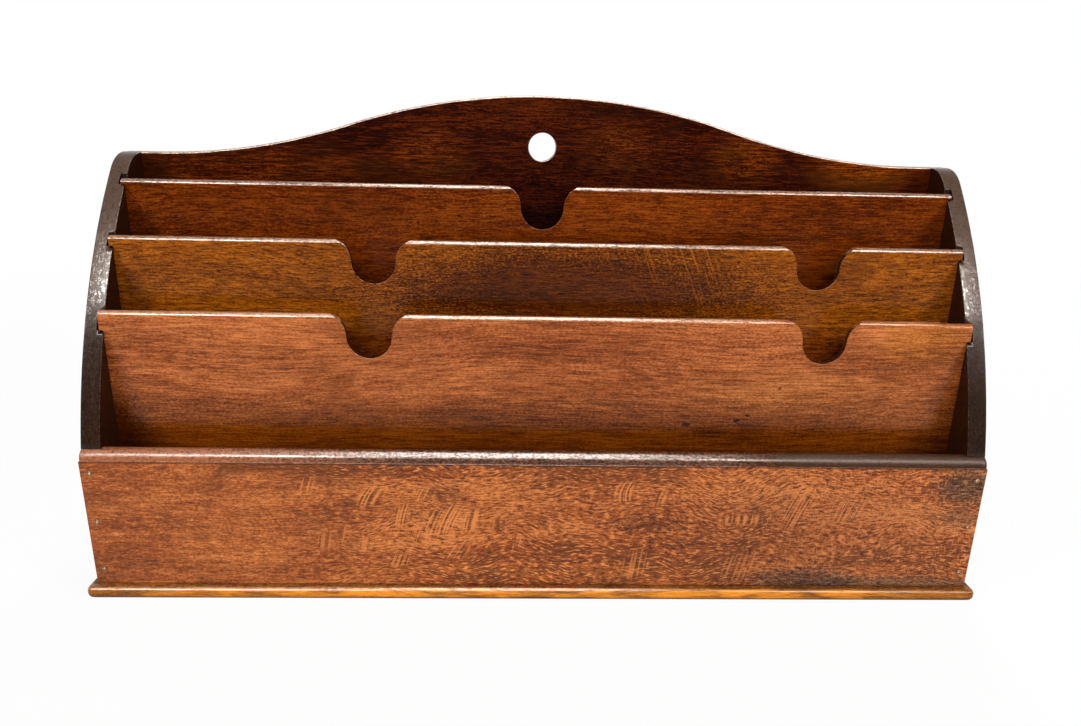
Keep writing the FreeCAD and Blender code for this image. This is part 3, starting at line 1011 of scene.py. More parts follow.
@dataclass
class Piece:
    """One rebuilt piece of the rack: the node that it stands for, its body, slot and finish."""

    node: str
    body: str
    slot: str
    finish: Wood | PinMetal
    uneven: float = 0.35
    uneven_rate: float = 95.0
    widest: float = 0.0006
    plain_arris: float = 0.0004
    facets: int = 3

    def shape(self) -> bmesh.types.BMesh:
        """Returns the piece's shape before its arrises are rounded."""
        raise NotImplementedError

    def arris(self, edge: bmesh.types.BMEdge) -> float:
        """Returns how far one sharp edge is rounded."""
        return self.plain_arris

    def build(self) -> bpy.types.Object:
        """Builds the piece with its arrises rounded.

        Returns:
            The object, not yet dressed.
        """
        shape = self.shape()
        bmesh.ops.remove_doubles(shape, verts=shape.verts, dist=WELD)
        bmesh.ops.recalc_face_normals(shape, faces=shape.faces)
        layer = shape.edges.layers.float.new(BEVEL_WEIGHT)
        for edge in shape.edges:
            if len(edge.link_faces) == 2 and edge.calc_face_angle() > SHARP_ANGLE:
                middle = (edge.verts[0].co + edge.verts[1].co) / 2
                worn = 1 + self.uneven * noise.noise(middle * self.uneven_rate)
                edge[layer] = min(1.0, self.arris(edge) / self.widest * worn)
                edge.smooth = edge[layer] > 0
        for face in shape.faces:
            face.smooth = True
        made = new_object(f"{self.node}_worn", shape)
        rounding = made.modifiers.new("arrises", "BEVEL")
        rounding.limit_method = "WEIGHT"
        rounding.width = self.widest
        rounding.segments = self.facets
        rounding.profile = 0.5
        rounding.material = -1
        rounding.use_clamp_overlap = False
        made.modifiers.new("flat faces", "WEIGHTED_NORMAL").keep_sharp = True
        return made

    def dress(self, made: bpy.types.Object) -> None:
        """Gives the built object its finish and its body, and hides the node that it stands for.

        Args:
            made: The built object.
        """
        made.data.materials.append(self.finish.material())
        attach(made, self.body)
        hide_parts(self.node)
        LOG.info("%s: %d faces before rounding", made.name, len(made.data.polygons))


@dataclass
class BaseBoard(Piece):
    """The board under everything, its front and side edges rounded over."""

    uneven: float = 0.0
    widest: float = 0.0026
    facets: int = 6
    nose: float = 0.002522
    corner: float = 0.0032

    def shape(self) -> bmesh.types.BMesh:
        """Draws the board from above, with rounded front corners, and thickens it.

        Returns:
            The shape, in the CAD frame.
        """
        low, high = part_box(self.node)
        made = bmesh.new()
        outline = Outline(made, Plane.TOP, low.z, (high.x, high.y))
        outline.line_to(low.x, high.y, 4)
        outline.line_to(low.x, low.y + self.corner, 6)
        outline.arc(low.x + self.corner, low.y + self.corner, 90, 6)
        outline.line_to(high.x - self.corner, low.y, 40)
        outline.arc(high.x - self.corner, low.y + self.corner, 90, 6)
        push(made, [outline.close()], Vector((0, 0, high.z - low.z)))
        return made

    def arris(self, edge: bmesh.types.BMEdge) -> float:
        """Rounds the front and side edges over, and only softens the back."""
        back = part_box(self.node)[1].y
        return self.plain_arris if lies_at(edge, 1, back) else self.nose


@dataclass
class FrontBoard(Piece):
    """The low front: a half-round top edge, and a lip over the edge of each end."""

    widest: float = 0.0012
    plain_arris: float = 0.00035
    step_arris: float = 0.00008
    quirk: float = 0.00035
    lip: float = 0.0034
    end_thickness: float = 0.008
    runs: int = 60

    def nose_radius(self) -> float:
        """Returns the radius of the half-round top edge."""
        low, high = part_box(self.node)
        return (high.y - low.y - self.quirk) / 2

    def shape(self) -> bmesh.types.BMesh:
        """Draws the section, sweeps it between the ends and adds a lip at each end.

        Returns:
            The shape, in the CAD frame.
        """
        low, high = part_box(self.node)
        made = bmesh.new()
        radius = self.nose_radius()
        foot = high.z - radius
        inner = high.x - self.end_thickness
        outline = Outline(made, Plane.SIDE, -inner, (high.y, low.z))
        outline.line_to(low.y, low.z).line_to(low.y, foot, 4).line_to(low.y + self.quirk, foot)
        outline.arc(low.y + self.quirk + radius, foot, -180, 20)
        swept = [outline.close()]
        for _ in range(self.runs):
            swept = push(made, swept, Vector((2 * inner / self.runs, 0, 0)))
        for side in (-1, 1):
            caps = [face for face in made.faces if lies_at(face, 0, side * inner)]
            halves = slice_at(made, caps, low.y + self.lip)
            lips = [face for face in halves if face.calc_center_median().y < low.y + self.lip]
            for _ in range(2):
                lips = push(made, lips, Vector((side * self.end_thickness / 2, 0, 0)))
        return made

    def arris(self, edge: bmesh.types.BMEdge) -> float:
        """Rounds the ends of the top edge more than the other arrises, and leaves its step crisp.

        Args:
            edge: The edge, between two faces.

        Returns:
            The width of the rounding, or 0 where the edge stays sharp.
        """
        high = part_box(self.node)[1]
        foot = high.z - self.nose_radius()
        at_end = lies_at(edge, 0, high.x) or lies_at(edge, 0, -high.x)
        if at_end and min(corner.co.z for corner in edge.verts) > foot - WELD:
            return self.widest
        return self.step_arris if lies_at(edge, 2, foot) else self.plain_arris


@dataclass
class EndBoard(Piece):
    """A curved end with three upright grooves in its inner face."""

    side: int = -1
    front_height: float = 0.0616
    sweep: float = 0.264
    crown: float = 0.0184
    groove_depth: float = 0.0028
    grooves: tuple[float, ...] = (0.01975, 0.03755, 0.05535)
    groove_width: float = 0.0036
    face_to_end: float = 0.0034
    groove_arris: float = 0.00022

    def outer_and_inner(self) -> Span:
        """Returns where the outer and the inner face lie, along X."""
        low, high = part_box(self.node)
        return (low.x, high.x) if self.side < 0 else (high.x, low.x)

    def shape(self) -> bmesh.types.BMesh:
        """Draws the end from the side, thickens it to the groove floors, then raises the lands.

        Returns:
            The shape, in the CAD frame.
        """
        low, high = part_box(self.node)
        start = Vector((low.y, low.z + self.front_height))
        crown = Vector((high.y, high.z - self.crown))
        gap = crown - start
        along = (self.sweep ** 2 - (self.sweep - self.crown) ** 2 + gap.length_squared) / (2 * gap.length)
        aside = math.sqrt(self.sweep ** 2 - along ** 2)
        ahead = gap.normalized()
        centre = start + ahead * along + Vector((ahead.y, -ahead.x)) * aside
        join = math.degrees(math.atan2(crown.y - centre.y, crown.x - centre.x))
        begin = math.degrees(math.atan2(start.y - centre.y, start.x - centre.x)) % 360

        made = bmesh.new()
        outer, _ = self.outer_and_inner()
        outline = Outline(made, Plane.SIDE, outer, (high.y, low.z))
        outline.line_to(low.y, low.z, 4).line_to(start.x, start.y, 6)
        outline.arc(centre.x, centre.y, join - begin, 48)
        outline.arc(crown.x, crown.y, 90 - join, 14)
        outline.close()
        front = low.y - self.face_to_end
        for groove in self.grooves:
            for wall in (groove, groove + self.groove_width):
                slice_at(made, list(made.faces), front + wall)
        floor = Vector((-self.side * (high.x - low.x - self.groove_depth), 0, 0))
        faces = push(made, list(made.faces), floor)
        lands = [face for face in faces if not self.in_groove(face.calc_center_median().y - front)]
        for land in lands:
            push(made, [land], Vector((-self.side * self.groove_depth, 0, 0)))
        return made

    def in_groove(self, depth: float) -> bool:
        """Says whether a distance behind the front face lies in one of the grooves."""
        return any(groove < depth < groove + self.groove_width for groove in self.grooves)

    def arris(self, edge: bmesh.types.BMEdge) -> float:
        """Softens the outer arris more than the inner one, and the grooves hardly at all.

        Args:
            edge: The edge, between two faces.

        Returns:
            The width of the rounding, or 0 where the edge stays sharp.
        """
        outer, inner = self.outer_and_inner()
        if lies_at(edge, 0, outer):
            return self.widest
        if not lies_at(edge, 0, inner):
            return 0.0
        upright = lies_at(edge, 1, edge.verts[0].co.y)
        return self.groove_arris if upright else self.plain_arris


@dataclass
class BackBoard(Piece):
    """The tall back with its crest and the hole to hang it by."""

    widest: float = 0.0011
    plain_arris: float = 0.0003
    crest_arris: float = 0.0009
    crest_depth: float = 0.06
    shoulder_height: float = 0.1774
    shoulder: float = 0.0143
    hole: float = 0.0127
    hole_drop: float = 0.0223

    def shape(self) -> bmesh.types.BMesh:
        """Draws the board in two halves that meet level with the hole, welds and thickens them.

        Returns:
            The shape, in the CAD frame.
        """
        low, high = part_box(self.node)
        ledge = low.z + self.shoulder_height
        rise = high.z - ledge
        reach = high.x - self.shoulder
        radius = (rise * rise + reach * reach) / (4 * rise)
        lean = math.degrees(math.asin(reach / 2 / radius))
        level = high.z - self.hole_drop
        hole = self.hole / 2
        climb = math.degrees(math.acos((ledge + radius - level) / radius))
        seam = reach - radius * math.sin(math.radians(climb))

        made = bmesh.new()
        lower = Outline(made, Plane.FRONT, low.y, (low.x, low.z))
        lower.line_to(high.x, low.z, 8).line_to(high.x, ledge, 8).line_to(reach, ledge, 2)
        lower.arc(reach, ledge + radius, -climb, 16)
        lower.line_to(hole, level)
        lower.arc(0, level, -180, 20)
        lower.line_to(-seam, level)
        lower.arc(-reach, ledge + radius, -climb, 16).line_to(low.x, ledge, 2)
        lower.close()
        upper = Outline(made, Plane.FRONT, low.y, (hole, level))
        upper.line_to(seam, level)
        upper.arc(reach, ledge + radius, -(lean - climb), 14)
        upper.arc(0, high.z - radius, 2 * lean, 48)
        upper.arc(-reach, ledge + radius, -(lean - climb), 14)
        upper.line_to(-hole, level)
        upper.arc(0, level, -171, 19)
        upper.close()
        bmesh.ops.remove_doubles(made, verts=made.verts, dist=WELD)
        push(made, list(made.faces), Vector((0, high.y - low.y, 0)))
        return made

    def arris(self, edge: bmesh.types.BMEdge) -> float:
        """Softens the crest's arrises more than the rest.

        Args:
            edge: The edge, between two faces.

        Returns:
            The width of the rounding, or 0 where the edge stays sharp.
        """
        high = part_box(self.node)[1]
        middle = (edge.verts[0].co + edge.verts[1].co) / 2
        at_hole = math.hypot(middle.x, middle.z - high.z + self.hole_drop) < self.hole
        plain = at_hole or middle.z < high.z - self.crest_depth
        return self.plain_arris if plain else self.crest_arris


@dataclass
class Divider(Piece):
    """A thin divider: finger notches in a top edge that is rounded at the front."""

    plain_arris: float = 0.00035
    foot_arris: float = 0.0002
    notches: tuple[float, ...] = ()
    notch_depth: float = 0.0188
    notch_radius: float = 0.0095
    shoulder_radius: float = 0.0098
    top_round: float = 0.0020
    round_steps: int = 6
    end_play: float = 0.0004
    chip_from: float = 0.0
    chip_slope: float = 0.001
    chip: float = 0.0

    def shape(self) -> bmesh.types.BMesh:
        """Draws the divider layer by layer from the front, each a little higher, and bridges the layers.

        Returns:
            The shape, in the CAD frame.
        """
        low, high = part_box(self.node)
        made = bmesh.new()
        loops = []
        for step in range(self.round_steps + 1):
            turn = math.radians(90 * step / self.round_steps)
            level = low.y + self.top_round * (1 - math.cos(turn))
            loops.append(self.layer(made, level, self.top_round * (1 - math.sin(turn))))
        loops.append(self.layer(made, high.y, 0.0))
        for near, far in zip(loops, loops[1:]):
            bmesh.ops.bridge_loops(made, edges=near + far)
        for ring in (loops[0], loops[-1]):
            bmesh.ops.edgeloop_fill(made, edges=ring)
        return made

    def layer(self, made: bmesh.types.BMesh, level: float, drop: float) -> list[bmesh.types.BMEdge]:
        """Draws the divider's outline at one depth.

        Args:
            made: The bmesh to draw in.
            level: The depth, along Y.
            drop: How far the top edge lies below its full height there.

        Returns:
            The edges of the outline.
        """
        low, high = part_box(self.node)
        left, right = low.x + self.end_play, high.x - self.end_play
        top = high.z - drop
        mouth = self.notch_radius + self.shoulder_radius
        centre = high.z - self.notch_depth + self.notch_radius
        rise = top - centre
        reach = math.sqrt(self.shoulder_radius ** 2 - rise ** 2)
        turn = math.degrees(math.atan2(rise, reach))
        outline = Outline(made, Plane.FRONT, level, (left, low.z))
        outline.line_to(right, low.z, 8).line_to(right, top - self.chip, 8)
        if self.chip:
            outline.line_to(self.chip_from + self.chip_slope, top - self.chip, 5)
            outline.line_to(self.chip_from, top)
        for middle in sorted(self.notches, reverse=True):
            outline.line_to(middle + mouth - reach, top, 12)
            outline.arc(middle + mouth, centre, turn, 9)
            outline.arc(middle, centre, -180, 20)
            outline.arc(middle - mouth, centre, turn, 9)
        outline.line_to(left, top, 12)
        return outline.loop()

    def arris(self, edge: bmesh.types.BMEdge) -> float:
        """Softens the rims of the notches and the outer edges.

        Args:
            edge: The edge, between two faces.

        Returns:
            The width of the rounding, or 0 where the edge stays sharp.
        """
        low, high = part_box(self.node)
        if not (lies_at(edge, 1, low.y) or lies_at(edge, 1, high.y)):
            return 0.0
        drop = high.z - max(corner.co.z for corner in edge.verts)
        return self.foot_arris if drop > self.notch_depth else self.plain_arris


@dataclass
class PinHeads(Piece):
    """A group of pin heads, each a low dome on the surface that it is driven into."""

    facing: Place = (0, -1, 0)
    places: tuple[Place, ...] = ()
    radius: float = 0.00100
    dome: float = 0.00022
    sides: int = 16
    rings: int = 10

    def shape(self) -> bmesh.types.BMesh:
        """Flattens a small ball for each pin.

        Returns:
            The shape, in the CAD frame.
        """
        made = bmesh.new()
        turn = Vector((0, 0, 1)).rotation_difference(Vector(self.facing)).to_matrix().to_4x4()
        flatten = Matrix.Diagonal((1, 1, self.dome / self.radius, 1))
        for place in self.places:
            start = Matrix.Translation(Vector(place)) @ turn
            ball = bmesh.ops.create_uvsphere(
                made, u_segments=self.sides, v_segments=self.rings, radius=self.radius)
            bmesh.ops.transform(made, matrix=start @ flatten, verts=ball["verts"])
        return made


@dataclass(frozen=True)
class PhotoCamera:
    """The camera of the photograph, fitted to the rack."""

    place: Place = (-0.01114, -0.34713, 0.20041)
    yaw: float = -1.883
    pitch: float = 17.602
    roll: float = -1.256
    focal_pixels: float = 802.3
    axis_row: float = 374.7
    frame_width: float = 1081.0
    frame_height: float = 726.0
    sensor: float = 36.0
    nearest: float = 0.01

    def build(self) -> None:
        """Makes the camera and sets it as the scene's own."""
        yaw, pitch, roll = (math.radians(angle) for angle in (self.yaw, self.pitch, self.roll))
        right = Vector((math.cos(yaw), math.sin(yaw), 0))
        level = Vector((-math.sin(yaw), math.cos(yaw), 0))
        ahead = level * math.cos(pitch) - Vector((0, 0, math.sin(pitch)))
        up = right.cross(ahead)
        turned_right = right * math.cos(roll) - up * math.sin(roll)
        turned_up = up * math.cos(roll) + right * math.sin(roll)
        lens = bpy.data.cameras.new("photo_camera")
        lens.sensor_width = self.sensor
        lens.lens = self.sensor * self.focal_pixels / self.frame_width
        lens.shift_y = (self.axis_row - self.frame_height / 2) / self.frame_width
        lens.clip_start = self.nearest
        made = bpy.data.objects.new("photo_camera", lens)
        made.matrix_world = Matrix.Translation(Vector(self.place)) @ Matrix(
            (turned_right, turned_up, -ahead)).transposed().to_4x4()
        bpy.context.scene.collection.objects.link(made)
        bpy.context.scene.camera = made


class Shows(Enum):
    """What a lamp lights: everything, only what is glossy, or only what is matt."""

    ALL = (True, True)
    GLOSS = (False, True)
    MATT = (True, False)


@dataclass(frozen=True)
class Lamp:
    """A soft box: where it stands, how large it is and how strong."""

    name: str
    place: Place
    target: Place
    width: float
    height: float
    watts: float
    shows: Shows = Shows.ALL
    colour: Colour = WHITE

    def build(self) -> None:
        """Hangs the lamp and turns it to its target."""
        light = bpy.data.lights.new(self.name, "AREA")
        light.shape = "RECTANGLE"
        light.size = self.width
        light.size_y = self.height
        light.energy = self.watts
        light.color = self.colour
        made = bpy.data.objects.new(self.name, light)
        made.visible_diffuse, made.visible_glossy = self.shows.value
        made.location = self.place
        made.rotation_mode = "QUATERNION"
        made.rotation_quaternion = (Vector(self.target) - Vector(self.place)).to_track_quat("-Z", "Y")
        bpy.context.scene.collection.objects.link(made)


@dataclass(frozen=True)
class Flag:
    """A dark cloth that only reflections see: its plane, how far off that lies, and two corners."""

    name: str
    plane: Plane
    level: float
    low: Point
    high: Point
    cloth: Colour = (0.01, 0.01, 0.01)

    def build(self) -> None:
        """Hangs the cloth."""
        shape = bmesh.new()
        outline = Outline(shape, self.plane, self.level, self.low)
        outline.line_to(self.high[0], self.low[1]).line_to(*self.high)
        outline.line_to(self.low[0], self.high[1]).close()
        made = stage_object(self.name, shape)
        graph = Graph(bpy.data.materials.new(self.name))
        cloth = graph.node("ShaderNodeBsdfDiffuse", None, {"Color": self.cloth})
        graph.node("ShaderNodeOutputMaterial", None, {"Surface": cloth.outputs[0]})
        made.data.materials.append(graph.owner)
        made.visible_camera = False
        made.visible_diffuse = False
        made.visible_transmission = False
        made.visible_shadow = False


def stage_object(name: str, shape: bmesh.types.BMesh) -> bpy.types.Object:
    """Makes an object for the studio.

    Args:
        name: Its name.
        shape: Its shape, which is freed.

    Returns:
        The object.
    """
    made = new_object(name, shape)
    return made


@dataclass(frozen=True)
class Studio:
    """A white floor and surround, soft boxes, and dark flags that only reflections see."""

    floor_reach: float = 9.0
    floor_sides: int = 64
    floor_paint: Colour = (0.88, 0.88, 0.87)
    floor_white: float = 0.93
    floor_fade: Span = (0.25, 1.2)
    surround: float = 0.11
    flags: tuple[Flag, ...] = (
        Flag("low_flag", Plane.FRONT, -1.05, (-2.0, 0.0), (2.0, 0.80)),
    )
    lamps: tuple[Lamp, ...] = (
        Lamp("right_box", (0.86, -0.56, 0.52), (0.0, 0.0, 0.10), 0.22, 0.22, 7.0),
        Lamp("left_box", (-0.86, -0.56, 0.54), (0.0, 0.0, 0.10), 0.22, 0.22, 7.0),
        Lamp("top_box", (-0.2, 0.25, 1.25), (0.0, 0.0, 0.1), 1.2, 0.7, 1.5),
        Lamp("back_box", (0.35, 1.20, 0.75), (0.0, 0.0, 0.10), 0.60, 0.60, 14.0),
        Lamp("front_box", (0.0, -1.0, 0.40), (0.0, 0.0, 0.10), 0.70, 0.40, 3.6, Shows.MATT),
        Lamp("sheen_box", (-0.02, -0.24, 1.10), (-0.02, -0.10, 0.07), 0.50, 1.20, 46.0,
             Shows.GLOSS, WARM),
        Lamp("left_sheen", (-0.60, -0.85, 1.05), (-0.186, -0.02, 0.14), 0.36, 0.34, 28.0,
             Shows.GLOSS, WARM),
        Lamp("right_sheen", (0.66, -0.85, 1.05), (0.186, -0.02, 0.14), 0.36, 0.34, 26.0,
             Shows.GLOSS, WARM),
    )

    def build(self) -> None:
        """Sets the floor, the surround, the flags and the lamps."""
        bpy.context.scene.view_settings.view_transform = "Standard"
        self.build_floor()
        self.build_surround()
        for fitting in (*self.flags, *self.lamps):
            fitting.build()

    @staticmethod
    def seen(graph: Graph) -> Term:
        """Returns 1 for the rays that show a background, straight, mirrored or through glass.

        Args:
            graph: The tree of the floor or the surround.

        Returns:
            1 for those rays, else 0.
        """
        path = graph.node("ShaderNodeLightPath")
        rays = [Term(graph, path.outputs[name])
                for name in ("Is Camera Ray", "Is Glossy Ray", "Is Transmission Ray")]
        return rays[0].most(rays[1]).most(rays[2])

    def build_floor(self) -> None:
        """Lays a round white floor that keeps the rack's shadow."""
        shape = bmesh.new()
        bmesh.ops.create_circle(shape, cap_ends=True, segments=self.floor_sides, radius=self.floor_reach)
        floor = stage_object("floor", shape)
        graph = Graph(bpy.data.materials.new("floor_white"))
        paint = graph.node("ShaderNodeBsdfDiffuse", None, {"Color": self.floor_paint})
        glow = graph.node("ShaderNodeEmission", None, {"Color": WHITE, "Strength": 1.0})
        distance = (graph.x * graph.x + graph.y * graph.y) ** 0.5
        white = self.floor_white + distance.rise(*self.floor_fade) * (1 - self.floor_white)
        shown = graph.node("ShaderNodeMixShader", None,
                           {0: self.seen(graph) * white, 1: paint.outputs[0], 2: glow.outputs[0]})
        graph.node("ShaderNodeOutputMaterial", None, {"Surface": shown.outputs[0]})
        floor.data.materials.append(graph.owner)

    def build_surround(self) -> None:
        """Fills the room with soft light, white where the background shows."""
        world = bpy.data.worlds.new("surround")
        bpy.context.scene.world = world
        graph = Graph(world)
        strength = self.surround + self.seen(graph) * (1 - self.surround)
        fill = graph.node("ShaderNodeBackground", None, {"Color": WHITE, "Strength": strength})
        graph.node("ShaderNodeOutputWorld", None, {"Surface": fill.outputs[0]})


DARK_STAIN: Colour = (0.34, 0.55, 1.05)
INK: Colour = (0.08, 0.10, 0.20)

FRONT_WOOD = FrontWood(
    "front_wood", deep=(0.085, 0.023, 0.010), body=(0.270, 0.064, 0.013), light=(0.58, 0.195, 0.052),
    stain=(0.105, 0.030, 0.009), stain_amount=0.75, worn=(0.42, 0.16, 0.05), worn_amount=0.5,
    specular=0.14, dashes=0.25, dash_rate=200.0, bands=1.6, lines=1.1, seed=1.0,
    patches=(
        Patch(0.000, 0.0128, 0.090, 0.0040, (1.8, 2.2, 1.5), 0.25),
        Patch(0.120, 0.0300, 0.080, 0.0300, (0.48, 0.55, 0.85), 0.35),
        Patch(0.116, 0.0085, 0.030, 0.0075, DARK_STAIN, 0.74, ragged=0.9),
        Patch(0.184, 0.0545, 0.018, 0.0100, DARK_STAIN, 0.85, ragged=0.9),
        Patch(0.160, 0.0064, 0.060, 0.0050, DARK_STAIN, 0.8, ragged=0.9),
        Patch(0.182, 0.0400, 0.012, 0.0060, (0.40, 0.50, 0.80), 0.7),
        Patch(0.046, 0.0360, 0.022, 0.0050, (0.40, 0.45, 0.70), 0.5),
    ),
    flecks=(
        Fleck(-0.0986, 0.0530, 0.0040, 0.0040, 0.30, 20.0, 0.0010, 0.6),
        Fleck(-0.0917, 0.0265, 0.0040, 0.0050, 0.15, 0.0, 0.0009, 0.5),
        Fleck(-0.0843, 0.0300, 0.0030, 0.0045, 0.20, 0.0, 0.0009, 0.5),
        Fleck(-0.0741, 0.0250, 0.0035, 0.0040, 0.20, 0.0, 0.0008, 0.5),
        Fleck(-0.0600, 0.0175, 0.0060, 0.0035, 0.35, 0.0, 0.0009, 0.6),
        Fleck(-0.0529, 0.0297, 0.0040, 0.0040, 0.30, 0.0, 0.0008, 0.5),
        Fleck(-0.0488, 0.0493, 0.0040, 0.0035, 0.45, 20.0, 0.0008, 0.6),
        Fleck(-0.0721, 0.0477, 0.0055, 0.0050, 0.55, 30.0, 0.0009, 0.8),
        Fleck(-0.0586, 0.0393, 0.0045, 0.0060, 0.25, 10.0, 0.0006, 0.8),
        Fleck(-0.0415, 0.0371, 0.0070, 0.0085, 0.45, 12.0, 0.0010, 1.0),
        Fleck(-0.0293, 0.0372, 0.0040, 0.0060, 0.25, 8.0, 0.0009, 0.9),
        Fleck(-0.0170, 0.0349, 0.0040, 0.0040, 0.10, 0.0, 0.0022, 0.8),
        Fleck(-0.0350, 0.0217, 0.0060, 0.0040, 0.60, 0.0, 0.0011, 0.6),
        Fleck(-0.0101, 0.0265, 0.0035, 0.0050, 0.15, 0.0, 0.0012, 0.5),
        Fleck(0.0420, 0.0160, 0.0060, 0.0080, 0.15, 0.0, 0.0012, 0.5),
        Fleck(0.0890, 0.0150, 0.0100, 0.0080, 0.25, 0.0, 0.0012, 0.5),
        Fleck(0.0355, 0.0509, 0.0050, 0.0060, 0.20, 45.0, 0.0008, 0.9),
        Fleck(0.0510, 0.0482, 0.0030, 0.0045, 0.30, 20.0, 0.0008, 0.9),
        Fleck(0.0880, 0.0380, 0.0120, 0.0028, 0.10, -30.0, 0.0016, 0.9),
        Fleck(0.1115, 0.0440, 0.0060, 0.0110, 0.42, 3.0, 0.0008, 1.0),
        Fleck(0.1320, 0.0431, 0.0080, 0.0060, 0.35, 8.0, 0.0007, 0.9),
    ))
FRONT_DIVIDER_WOOD = DividerWood(
    "front_divider_wood", deep=(0.105, 0.021, 0.003), body=(0.287, 0.072, 0.015),
    light=(0.51, 0.158, 0.042), stain=(0.110, 0.020, 0.001), stain_amount=0.4,
    worn=(0.60, 0.30, 0.14), worn_amount=0.6, roughness=0.17, specular=0.17, dashes=0.45, bands=1.4,
    # The foot tint paints shade on the lower part of the front divider.
    length=2.6, seed=2.0, top=0.1214, foot=(0.090, 0.070), foot_light_and_shade_amount=0.95,
    foot_light_and_shade_tint=(0.36, 0.27, 0.02), band_end=0.100,
    patches=(
        Patch(0.064, 0.0740, 0.0022, 0.0010, INK, 0.9),
        Patch(0.086, 0.0760, 0.0020, 0.0012, INK, 0.9),
        Patch(0.091, 0.0785, 0.0012, 0.0008, INK, 0.8),
        Patch(0.104, 0.0910, 0.0010, 0.0008, INK, 0.8),
        Patch(0.075, 0.0700, 0.0110, 0.0030, (0.40, 0.40, 0.40), 0.6),
        Patch(0.020, 0.1100, 0.0900, 0.0120, (0.80, 0.70, 0.65), 0.7),
        Patch(0.110, 0.0890, 0.0600, 0.0120, (1.05, 1.20, 1.10), 0.7),
        Patch(0.165, 0.1120, 0.0250, 0.0120, (1.10, 1.25, 0.60), 0.7),
        # Painted shadows that the ends cast into the corners at both ends of the foot.
        Patch(-0.186, 0.0660, 0.0170, 0.0300, (0.32, 0.24, 0.20), 0.9, ragged=0.5),
        Patch(0.188, 0.0660, 0.0150, 0.0280, (0.45, 0.40, 0.35), 0.8, ragged=0.5),
    ))
MIDDLE_DIVIDER_WOOD = DividerWood(
    "middle_divider_wood", deep=(0.050, 0.011, 0.0006), body=(0.180, 0.041, 0.0018),
    light=(0.36, 0.104, 0.006), stain=(0.060, 0.014, 0.001), stain_amount=0.5,
    worn=(0.44, 0.27, 0.16), worn_amount=0.5, specular=0.11, dashes=0.8, length=1.3, seed=3.0,
    # The foot tint paints light on the part that shows through the front divider's notches.
    top=0.1500, scratches=0.8, foot=(0.114, 0.104), foot_light_and_shade_tint=(1.7, 1.3, 1.1),
    patches=(Patch(0.012, 0.1290, 0.094, 0.024, (0.27, 0.17, 0.08), 0.9),))
REAR_DIVIDER_WOOD = DividerWood(
    "rear_divider_wood", deep=(0.034, 0.005, 0.0003), body=(0.106, 0.016, 0.0006),
    light=(0.23, 0.046, 0.002), stain=(0.045, 0.009, 0.0006), stain_amount=0.45,
    worn=(0.42, 0.23, 0.12), worn_amount=0.5, specular=0.07, dashes=0.7, length=2.0, seed=4.0,
    # The foot tint paints light on the part that shows through the middle divider's notches.
    top=0.1723, foot=(0.144, 0.133), foot_light_and_shade_tint=(2.1, 2.0, 1.7),
    patches=(Patch(-0.1100, 0.1640, 0.100, 0.018, (0.70, 0.64, 0.55), 0.8),))
BACK_WOOD = BackWood(
    "back_wood", deep=(0.008, 0.0008, 0.0001), body=(0.023, 0.0020, 0.0001), light=(0.094, 0.0130, 0.0002),
    # The worn colour also paints the highlight along the crest.
    stain=(0.018, 0.0035, 0.0004), stain_amount=0.6, worn=(0.60, 0.40, 0.28), worn_amount=0.85,
    roughness=0.30, specular=0.03, dashes=0.9, length=2.0, seed=5.0,
    patches=(
        Patch(-0.1350, 0.1770, 0.075, 0.014, (2.4, 3.0, 1.8), 0.6),
        Patch(-0.0515, 0.1841, 0.022, 0.014, (2.8, 4.0, 3.0), 0.5, ragged=0.8),
        Patch(0.0359, 0.1880, 0.022, 0.013, (2.3, 3.4, 2.6), 0.55, ragged=0.8),
        Patch(0.0944, 0.1850, 0.020, 0.013, (2.8, 4.2, 3.0), 0.5, ragged=0.8),
        Patch(0.1490, 0.1810, 0.026, 0.013, (3.6, 5.5, 4.0), 0.7, ragged=0.8),
        Patch(0.0000, 0.1660, 0.020, 0.010, (0.50, 0.35, 0.30), 0.8),
    ))
END_WOOD = EndWood(
    "end_wood", deep=(0.005, 0.0025, 0.0015), body=(0.016, 0.007, 0.004), light=(0.036, 0.016, 0.009),
    stain=(0.008, 0.004, 0.003), stain_amount=0.6, worn=(0.26, 0.21, 0.18), worn_amount=0.5,
    grain=Grain.UPRIGHT, specular=0.10, coat_roughness=0.17, seed=6.0)
BASE_WOOD = BaseWood(
    "base_wood", deep=(0.070, 0.020, 0.003), body=(0.180, 0.054, 0.008), light=(0.32, 0.115, 0.018),
    stain=(0.05, 0.018, 0.005), stain_amount=0.5, worn=(0.80, 0.27, 0.018), worn_amount=0.8,
    roughness=0.26, specular=0.12, seed=7.0)
PIN_METAL = PinMetal()

NOTCHES = (-0.0729, 0.1211)
REAR_NOTCHES = (0.0,)
BASE_PIN_COLUMNS = (-0.120, 0.120)
BASE_PIN_ROWS = (-0.0345, 0.0394)
END_PIN_ROWS = (-0.00855, 0.0278)
PIN_RADIUS = 0.00075


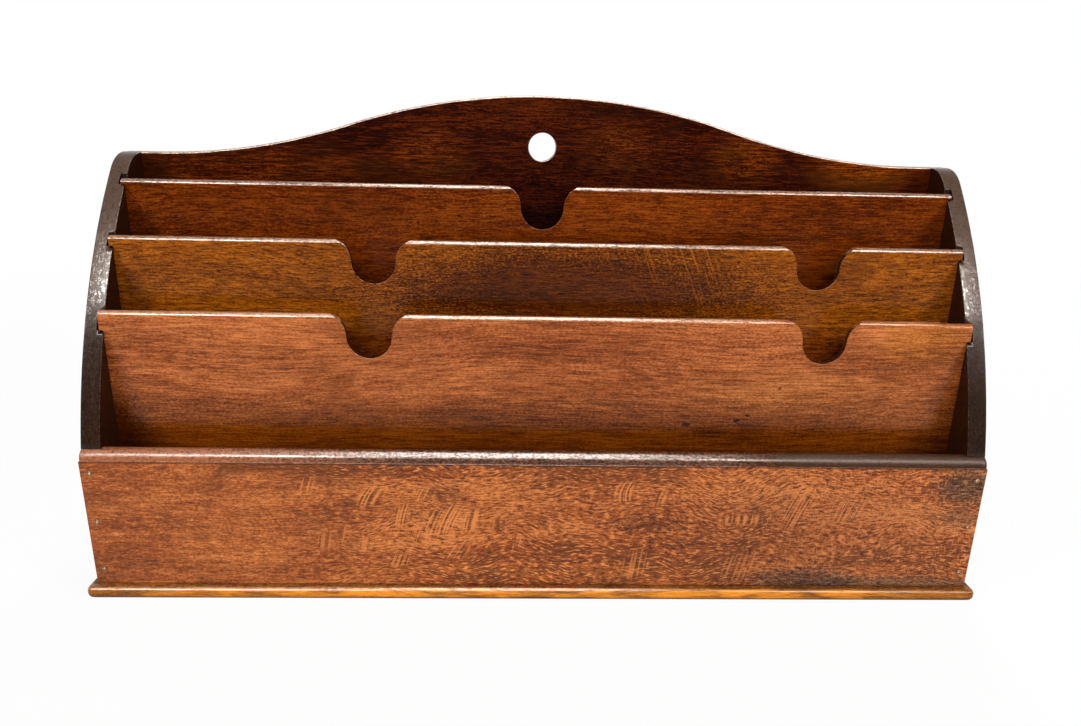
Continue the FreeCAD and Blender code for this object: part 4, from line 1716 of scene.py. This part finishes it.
def rack_pieces() -> list[Piece]:
    """Returns every piece of the rack, carcass first.

    Returns:
        The pieces, not yet built.
    """
    left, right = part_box("left_end"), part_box("right_end")
    sides = ((left[0].x + left[1].x) / 2, (right[0].x + right[1].x) / 2)
    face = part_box("front_board")[0].y
    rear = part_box("back_board")[1].y
    front_rows, back_rows = pin_rows("front_pins"), pin_rows("back_pins")
    under = [(x, y, 0.0) for x in BASE_PIN_COLUMNS for y in BASE_PIN_ROWS]
    under += [(x, y, 0.0) for x in sides for y in END_PIN_ROWS]
    return [
        BaseBoard("base_board", CARCASS, "base_wood", BASE_WOOD),
        EndBoard("left_end", CARCASS, "end_wood", END_WOOD, side=-1),
        EndBoard("right_end", CARCASS, "end_wood", END_WOOD, side=1),
        FrontBoard("front_board", CARCASS, "front_wood", FRONT_WOOD),
        BackBoard("back_board", CARCASS, "back_wood", BACK_WOOD),
        Divider("front_divider", "front_divider", "front_divider_wood", FRONT_DIVIDER_WOOD,
                notches=NOTCHES, chip_from=0.1705, chip=0.0006),
        Divider("middle_divider", "middle_divider", "middle_divider_wood", MIDDLE_DIVIDER_WOOD,
                notches=NOTCHES),
        Divider("rear_divider", "rear_divider", "rear_divider_wood", REAR_DIVIDER_WOOD,
                notches=REAR_NOTCHES),
        PinHeads("front_pins", CARCASS, "pin_metal", PIN_METAL, facing=(0, -1, 0),
                 places=tuple((x, face, z) for x in sides for z in front_rows)),
        PinHeads("back_pins", CARCASS, "pin_metal", PIN_METAL, facing=(0, 1, 0), dome=0.00008,
                 places=tuple((x, rear, z) for x in sides for z in back_rows)),
        PinHeads("base_pins", CARCASS, "pin_metal", PIN_METAL, facing=(0, 0, -1), dome=0.00006,
                 places=tuple(under)),
    ]


def pin_rows(node: str) -> list[float]:
    """Returns the heights of the three pins in each of a node's two columns."""
    low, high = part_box(node)
    return [low.z + PIN_RADIUS + step * (high.z - low.z - 2 * PIN_RADIUS) / 2 for step in range(3)]


def main() -> None:
    """Builds the camera, the studio and every piece."""
    logging.basicConfig(level=logging.INFO, format="%(name)s: %(message)s")
    PhotoCamera().build()
    Studio().build()
    for piece in rack_pieces():
        piece.dress(piece.build())


if __name__ == "__main__":
    main()
